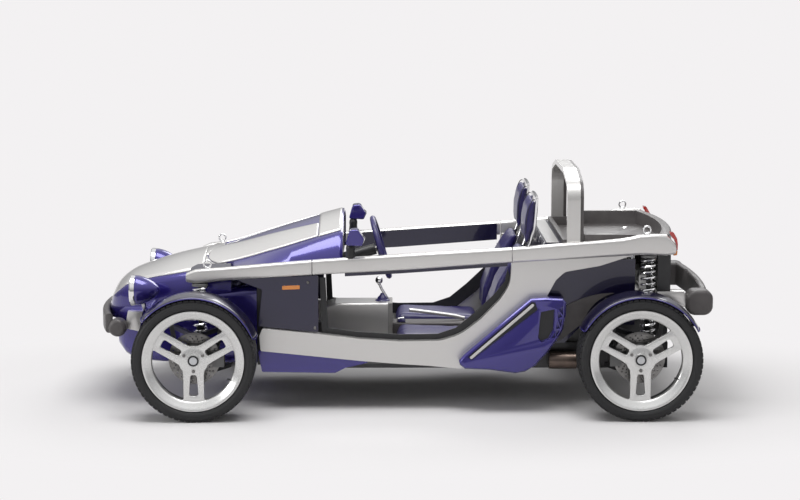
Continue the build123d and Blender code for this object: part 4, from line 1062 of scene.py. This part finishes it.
def build_controls():
    """The steering wheel, gear lever, centre tunnel and handbrake."""
    centre = Vector(WHEEL_HUB)
    axis = Vector(JOINTS["steering_wheel_turn"]["axis"]).normalized()
    side = Vector((0, 1, 0))
    up = axis.cross(side)
    grip_radius = 0.157
    rim_path = [centre + side * grip_radius * cos(a) + up * grip_radius * sin(a) for a in
        [2 * pi * i / 64 for i in range(64)]]
    wheel = [coat(tube("grip", rim_path, 0.0148, 16, closed=True), "violet_leather")]
    for angle in (90, 210, 330):
        a = radians(angle)
        out = side * cos(a) + up * sin(a)
        path = [centre + out * 0.025 - axis * 0.016, centre + out * 0.09 - axis * 0.01, centre + out * 0.15]
        wheel.append(coat(tube("spoke", path, 0.01, 12, 0.45), "bare_steel"))
    wheel.append(coat(lathe("pad", ((0, 0.006), (0.022, 0.005), (0.03, 0.0), (0.033, -0.01), (0.03, -0.02),
        (0, -0.021)), centre, axis, 40), "black_leather"))
    wheel.append(coat(lathe("shaft", ((0.0, -0.016), (0.015, -0.016), (0.015, -0.114), (0, -0.114)), centre,
        axis, 24), "bare_steel"))
    settle(join("steering_wheel_set", wheel), "steering_wheel", slot="purple_trim", body="steering_wheel")
    knob = lathe("knob", ((0, 0.0215), (0.01, 0.019), (0.018, 0.011), (0.0212, 0.0), (0.018, -0.012),
        (0.009, -0.019), (0.008, -0.024), (0, -0.024)), here(0.936, 0, 0.599), (0, 0, 1), 36)
    stick = tube("stick", [here(0.9365, 0, 0.58), here(0.95, 0, 0.55), here(0.988, 0, 0.487)], 0.0075, 14)
    settle(join("gear_lever_set", [coat(knob, "bright_chrome"), coat(stick, "bright_chrome")]),
        "gear_lever", slot="chrome")
    # Tunnel plates, columns: name, outline of x and height, half width, corner radius, edge radius, finish
    plates = (("tunnel", ((0.645, 0.2375), (0.645, 0.47), (0.7, 0.488), (1.008, 0.488), (1.008, 0.2375)),
        0.094, 0.02, 0.012, "silver_paint"), ("spine",
        ((1.0, 0.2375), (1.0, 0.376), (1.495, 0.376), (1.495, 0.2375)), 0.06, 0.02, 0.01, "grey_moulding"),
        ("front_spine", ((0.332, 0.2375), (0.332, 0.376), (0.65, 0.376), (0.65, 0.2375)), 0.058, 0.02, 0.01,
        "grey_moulding"), ("strap", ((0.983, 0.2375), (0.983, 0.4885), (1.0085, 0.4885), (1.0085, 0.2375)),
        0.0946, 0.004, 0.002, "light_moulding"))
    tunnel = [coat(side_plate(name, outline, -half, half, radius, edge), look) for name, outline, half,
        radius, edge, look in plates]
    settle(join("tunnel_set", tunnel), "centre_tunnel", slot="grey_plastic")
    boot = lathe("boot", ((0.0, 0.04), (0.01, 0.039), (0.017, 0.026), (0.026, 0.018), (0.03, 0.008),
        (0.04, 0.002), (0.041, 0.0)), here(0.955, 0, 0.4885), (0, 0, 1), 40)
    buckle = side_plate("buckle", ((1.03, 0.377), (1.034, 0.399), (1.072, 0.406), (1.082, 0.377)), -0.058,
        -0.034, 0.006, 0.004)
    handbrake = tube("handbrake", smooth_path([here(1.4, 0.025, 0.385), here(1.32, 0.025, 0.402),
        here(1.14, 0.025, 0.426), here(1.1, 0.025, 0.43)], 20), 0.01, 14)
    settle(join("cabin_details", [coat(boot, "violet_leather"), coat(buckle, "bright_chrome"),
        coat(handbrake, "silver_paint")]))


def build_mirrors():
    """The mirrors on their bases."""
    shell = side_plate("mirror_shell", ((0.764, 0.87, 0.012), (0.786, 0.948, 0.02), (0.828, 0.952, 0.02),
        (0.863, 0.902, 0.02), (0.85, 0.866, 0.012)), -0.56, -0.47, 0.02, 0.016, 5)
    glass = side_plate("mirror_glass", ((0.8455, 0.925), (0.866, 0.902), (0.8525, 0.872), (0.85, 0.872)),
        -0.548, -0.482, 0.004, 0.001)
    base = lathe("mirror_base", ((0, -0.004), (0.024, -0.004), (0.0245, 0.01), (0.022, 0.03),
        (0.0235, 0.048), (0.021, 0.062), (0.012, 0.072), (0, 0.074)), here(0.79, -0.495, 0.8), (0, 0, 1),
        36)
    settle(pair("mirror_pair", join("mirror", [coat(shell, "violet_paint"), coat(glass, "bright_chrome"),
        coat(base, "black_moulding")])), "mirrors", slot="purple")


def build_rear():
    """The roll hoop, load tray, filler caps, deck strip and lift eyes."""
    # Hoop bands, columns: name, node, front x, rear x, how far inside the outline, finish
    for name, node, x0, x1, inset, look in (("hoop_band", "roll_hoop", 1.905, 1.973, 0.0, "silver_paint"),
            ("hoop_back", "roll_hoop_backing", 1.9733, 1.99, 0.004, "grey_moulding")):
        half, top, foot, wall = 0.4917 - inset, 1.232 - inset, 0.7988, 0.026
        shoulder, crown, corner = 1.175 - inset, 0.222, 0.11
        outline = ((-half, foot, 0.001), (-half, shoulder, corner), (-crown, top, corner),
            (crown, top, corner), (half, shoulder, corner), (half, foot, 0.001))
        outer = rounded_outline(outline, 0.1, 12)
        inner = []
        for i, p in enumerate(outer):
            ahead = (outer[min(i + 1, len(outer) - 1)] - outer[max(i - 1, 0)]).normalized()
            inner.append(p + Vector((ahead.y, -ahead.x)) * wall)
        rings = []
        for p, q in zip(outer, inner):
            rings.append([here(x0, p.x, p.y), here(x1, p.x, p.y), here(x1, q.x, q.y), here(x0, q.x, q.y)])
        hoop = soften(loft(name, rings), 0.006, 3)
        settle(coat(hoop, look), node, slot="silver" if look == "silver_paint" else "grey_plastic")
    settle(rounded_copy("tray_shell", "rear_tray", 0.007, "grey_moulding", 4), "rear_tray",
        slot="grey_plastic")
    cap = lathe("cap", ((0, 0.0118), (0.018, 0.0118), (0.02, 0.0095), (0.038, 0.0095), (0.041, 0.0118),
        (0.056, 0.0118), (0.062, 0.008), (0.0645, 0.001), (0.0645, 0.0)), here(2.151, -0.047, 0.84),
        (0, 0, 1), 64)
    small = lathe("small_cap", ((0, 0.0062), (0.008, 0.0058), (0.0135, 0.0035), (0.0158, 0.0)),
        here(2.302, 0.323, 0.84), (0, 0, 1), 32)
    settle(join("cap_set", [coat(cap, "silver_paint"), coat(small, "bright_chrome")]), "filler_cap",
        slot="silver")
    strip = side_plate("deck_strip", ((1.803, 0.8663), (1.803, 0.869), (1.868, 0.869), (1.868, 0.8663)),
        -0.436, 0.436, 0.001, 0.001, 2)
    settle(coat(strip, "silver_paint"))
    eyes = []
    ring_radius, ring_rise = 0.0185, 0.023
    for x in (0.052, 2.312):
        top = between(RAIL, x, 2)
        y = -rail_outer(x) + RAIL_WIDTH / 2
        ring = [here(u, y, v) for u, v in circle(ring_radius, 32, (x, top + ring_rise))]
        eyes.append(coat(tube("eye", ring, 0.0045, 12, 1.1, closed=True), "bright_chrome"))
        eyes.append(coat(lathe("foot", ((0, 0.01), (0.01, 0.008), (0.014, 0.002), (0.016, -0.002)),
            here(x, y, top), (0, 0, 1), 24), "bright_chrome"))
    settle(pair("lift_eye_set", join("left_eyes", eyes)), "lift_eyes", slot="chrome")


# Painted shade: the rail trims, rear side panels and rear bulkhead take the darker violet copy of the paint,
# where purple stands in shadow.
NODE_LOOKS = {"dashboard": "black_moulding", "engine_block": "cast_metal", "door_liners": "black_moulding",
    "rail_trims": "violet_shade", "rear_side_panels": "violet_shade", "quarter_panels": "grey_moulding",
    "exhaust": "dark_bronze", "floor_tub": "black_frame", "rear_bulkhead": "violet_shade",
    "rear_subframe": "black_frame", "rear_uprights": "cast_metal", "steering_column": "black_moulding",
    "suspension_arms": "black_frame", "knuckle_front_left": "cast_metal",
    "knuckle_front_right": "cast_metal",}


def dress_frame():
    """Gives the CAD pieces that stay in view their finishes."""
    for node, look in NODE_LOOKS.items():
        for material_slot in frame["nodes"][node].material_slots:
            material_slot.material = finish(look)


# Stage
CAMERA_X, CAMERA_Y, CAMERA_Z = 0.9587, -10.4281, 2.3251
CAMERA_DOWN, CAMERA_YAW = radians(8.517), radians(0.497)
LENS = 87.85
BACKDROP = (0.896, 0.88, 0.888)


def build_stage():
    """Camera at the photograph's angle, pale floor and backdrop, and soft studio lamps."""
    scene = bpy.context.scene
    lens = bpy.data.cameras.new("camera")
    lens.lens = LENS
    lens.sensor_width = 36
    camera = bpy.data.objects.new("camera", lens)
    camera.location = here(CAMERA_X, CAMERA_Y, CAMERA_Z)
    camera.rotation_euler = (radians(90) - CAMERA_DOWN, 0, -CAMERA_YAW)
    scene.collection.objects.link(camera)
    scene.camera = camera
    scene.view_settings.view_transform = "Standard"
    floor = make_mesh("floor", [(-40, -30, 0), (40, -30, 0), (40, 40, 0), (-40, 40, 0)], [[0, 1, 2, 3]])
    floor.data.materials.append(floor_material())
    world = bpy.data.worlds.new("studio")
    scene.world = world
    world.use_nodes = True
    tree = world.node_tree
    ambient = fill(tree.nodes["Background"], {"Color": (1.0, 0.99, 0.985, 1), "Strength": 0.36})
    seen = add(tree, "ShaderNodeBackground", {"Color": (*BACKDROP, 1)})
    studio = add(tree, "ShaderNodeBackground")
    path = add(tree, "ShaderNodeLightPath")
    mix = add(tree, "ShaderNodeMixShader")
    shiny = add(tree, "ShaderNodeMixShader")
    wire(tree, (seen_mask(tree, path), 0, mix, "Fac"), (ambient, 0, mix, 1), (seen, 0, mix, 2),
        (studio_height(tree), "Result", studio, "Color"), (path, "Is Glossy Ray", shiny, "Fac"),
        (mix, 0, shiny, 1), (studio, 0, shiny, 2), (shiny, 0, tree.nodes["World Output"], "Surface"))
    # Lamps, columns: name, place, aim, width, power
    for name, place, aim, size, power in (("key_lamp", (0.6, -1.2, 5.4), (1.0, 0, 0.5), 4.5, 235),
            ("front_lamp", (-5.0, -3.0, 2.6), (0.2, 0, 0.6), 2.5, 90),
            ("back_lamp", (2.8, 4.5, 4.2), (1.2, 0, 0.7), 4.0, 140)):
        light = bpy.data.lights.new(name, "AREA")
        light.shape = "RECTANGLE"
        light.size = size
        light.size_y = size * 0.6
        light.energy = power
        lamp = bpy.data.objects.new(name, light)
        lamp.location = here(*place)
        lamp.rotation_euler = (here(*aim) - lamp.location).to_track_quat("-Z", "Y").to_euler()
        scene.collection.objects.link(lamp)


def studio_height(tree):
    """What shiny pieces mirror: dark walls at the horizon below a bright ceiling."""
    split = add(tree, "ShaderNodeSeparateXYZ")
    rise = add(tree, "ShaderNodeMapRange", {"From Min": -0.1, "From Max": 0.75},
        interpolation_type="SMOOTHSTEP")
    tone = add(tree, "ShaderNodeMix", {"A": (0.16, 0.16, 0.17, 1), "B": (0.95, 0.95, 0.96, 1)},
        data_type="RGBA")
    wire(tree, (add(tree, "ShaderNodeTexCoord"), "Generated", split, 0), (split, "Z", rise, "Value"),
        (rise, "Result", tone, "Factor"))
    return tone


def seen_mask(tree, path):
    """One where a camera, glossy or transmission ray looks, else nought."""
    first = add(tree, "ShaderNodeMath", operation="MAXIMUM")
    second = add(tree, "ShaderNodeMath", operation="MAXIMUM")
    wire(tree, (path, "Is Camera Ray", first, 0), (path, "Is Glossy Ray", first, 1), (first, 0, second, 0),
        (path, "Is Transmission Ray", second, 1))
    return second


def floor_material():
    """A pale floor that keeps the car's shadow and fades into the backdrop's colour further out."""
    material = bpy.data.materials.new("studio_floor")
    material.use_nodes = True
    tree = material.node_tree
    tree.nodes.remove(tree.nodes["Principled BSDF"])
    near = add(tree, "ShaderNodeBsdfDiffuse", {"Color": (0.74, 0.73, 0.735, 1)})
    far = add(tree, "ShaderNodeEmission", {"Color": (*BACKDROP, 1)})
    shape = add(tree, "ShaderNodeMapping", {"Scale": (0.36, 0.62, 1.0)})
    distance = add(tree, "ShaderNodeVectorMath", operation="LENGTH")
    fade = add(tree, "ShaderNodeMapRange", {"From Min": 0.62, "From Max": 1.15},
        interpolation_type="SMOOTHSTEP")
    share = add(tree, "ShaderNodeMath", operation="MULTIPLY")
    mix = add(tree, "ShaderNodeMixShader")
    wire(tree, (add(tree, "ShaderNodeTexCoord"), "Object", shape, "Vector"), (shape, "Vector", distance, 0),
        (distance, "Value", fade, "Value"), (fade, "Result", share, 0),
        (seen_mask(tree, add(tree, "ShaderNodeLightPath")), 0, share, 1), (share, 0, mix, "Fac"),
        (near, 0, mix, 1), (far, 0, mix, 2), (mix, 0, tree.nodes["Material Output"], "Surface"))
    return material


# Add-on
class RoadsterSizes(bpy.types.PropertyGroup):
    """Sizes that a user would change."""
    tread_blocks: bpy.props.IntProperty(name="Tread blocks", description="Blocks in each row of tread",
        default=64, min=12, max=120)


def step_operator(name, label, text, build):
    """An operator class that runs one building step."""
    def execute(self, context):
        build()
        return {"FINISHED"}
    return type("ROADSTER_OT_" + name, (bpy.types.Operator,),
        {"bl_idname": "roadster." + name, "bl_label": label, "__doc__": text, "execute": execute})


# Building steps, columns: operator, label, description, function
STEPS = (("stage", "Stage", "Makes the camera, floor and lamps", build_stage),
    ("frame", "Frame", "Dresses the pieces that stay as they are", dress_frame),
    ("wheels", "Wheels", "Makes the rims, brake discs and tyres", build_wheels),
    ("fenders", "Fenders", "Makes the cycle fenders", build_fenders),
    ("rails", "Rails", "Makes the side rails and sills", build_rails),
    ("side_panels", "Side panels", "Makes the panels, skirts and pods", build_side_panels),
    ("nose", "Nose", "Makes the nose, hood and blades", build_nose),
    ("lamps", "Lamps", "Makes the headlamps and tail lamps", build_lamps),
    ("springs", "Springs", "Makes the coil springs and dampers", build_springs),
    ("bumpers", "Bumpers", "Makes both bumpers", build_bumpers),
    ("seats", "Seats", "Makes the seats and their frames", build_seats),
    ("controls", "Controls", "Makes the steering wheel, lever and tunnel", build_controls),
    ("mirrors", "Mirrors", "Makes the mirrors", build_mirrors),
    ("rear", "Rear", "Makes the hoop, tray and lift eyes", build_rear),)
OPERATORS = [step_operator(*step) for step in STEPS]


class ROADSTER_PT_panel(bpy.types.Panel):
    """Lists the building steps in the sidebar."""
    bl_idname = "ROADSTER_PT_panel"
    bl_label = "Roadster"
    bl_space_type = "VIEW_3D"
    bl_region_type = "UI"
    bl_category = "Roadster"

    def draw(self, context):
        self.layout.prop(context.scene.roadster_sizes, "tread_blocks")
        for operator in OPERATORS:
            self.layout.operator(operator.bl_idname)


def register():
    """Registers the classes and the settings."""
    bpy.utils.register_class(RoadsterSizes)
    for operator in OPERATORS:
        bpy.utils.register_class(operator)
    bpy.utils.register_class(ROADSTER_PT_panel)
    bpy.types.Scene.roadster_sizes = bpy.props.PointerProperty(type=RoadsterSizes)


def unregister():
    """Takes the settings and classes away again."""
    del bpy.types.Scene.roadster_sizes
    bpy.utils.unregister_class(ROADSTER_PT_panel)
    for operator in reversed(OPERATORS):
        bpy.utils.unregister_class(operator)
    bpy.utils.unregister_class(RoadsterSizes)


def main():
    """Builds everything in order and writes the sizes down."""
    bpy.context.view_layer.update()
    register()
    for name, _, _, _ in STEPS:
        getattr(bpy.ops.roadster, name)()


if __name__ == "__main__":
    main()
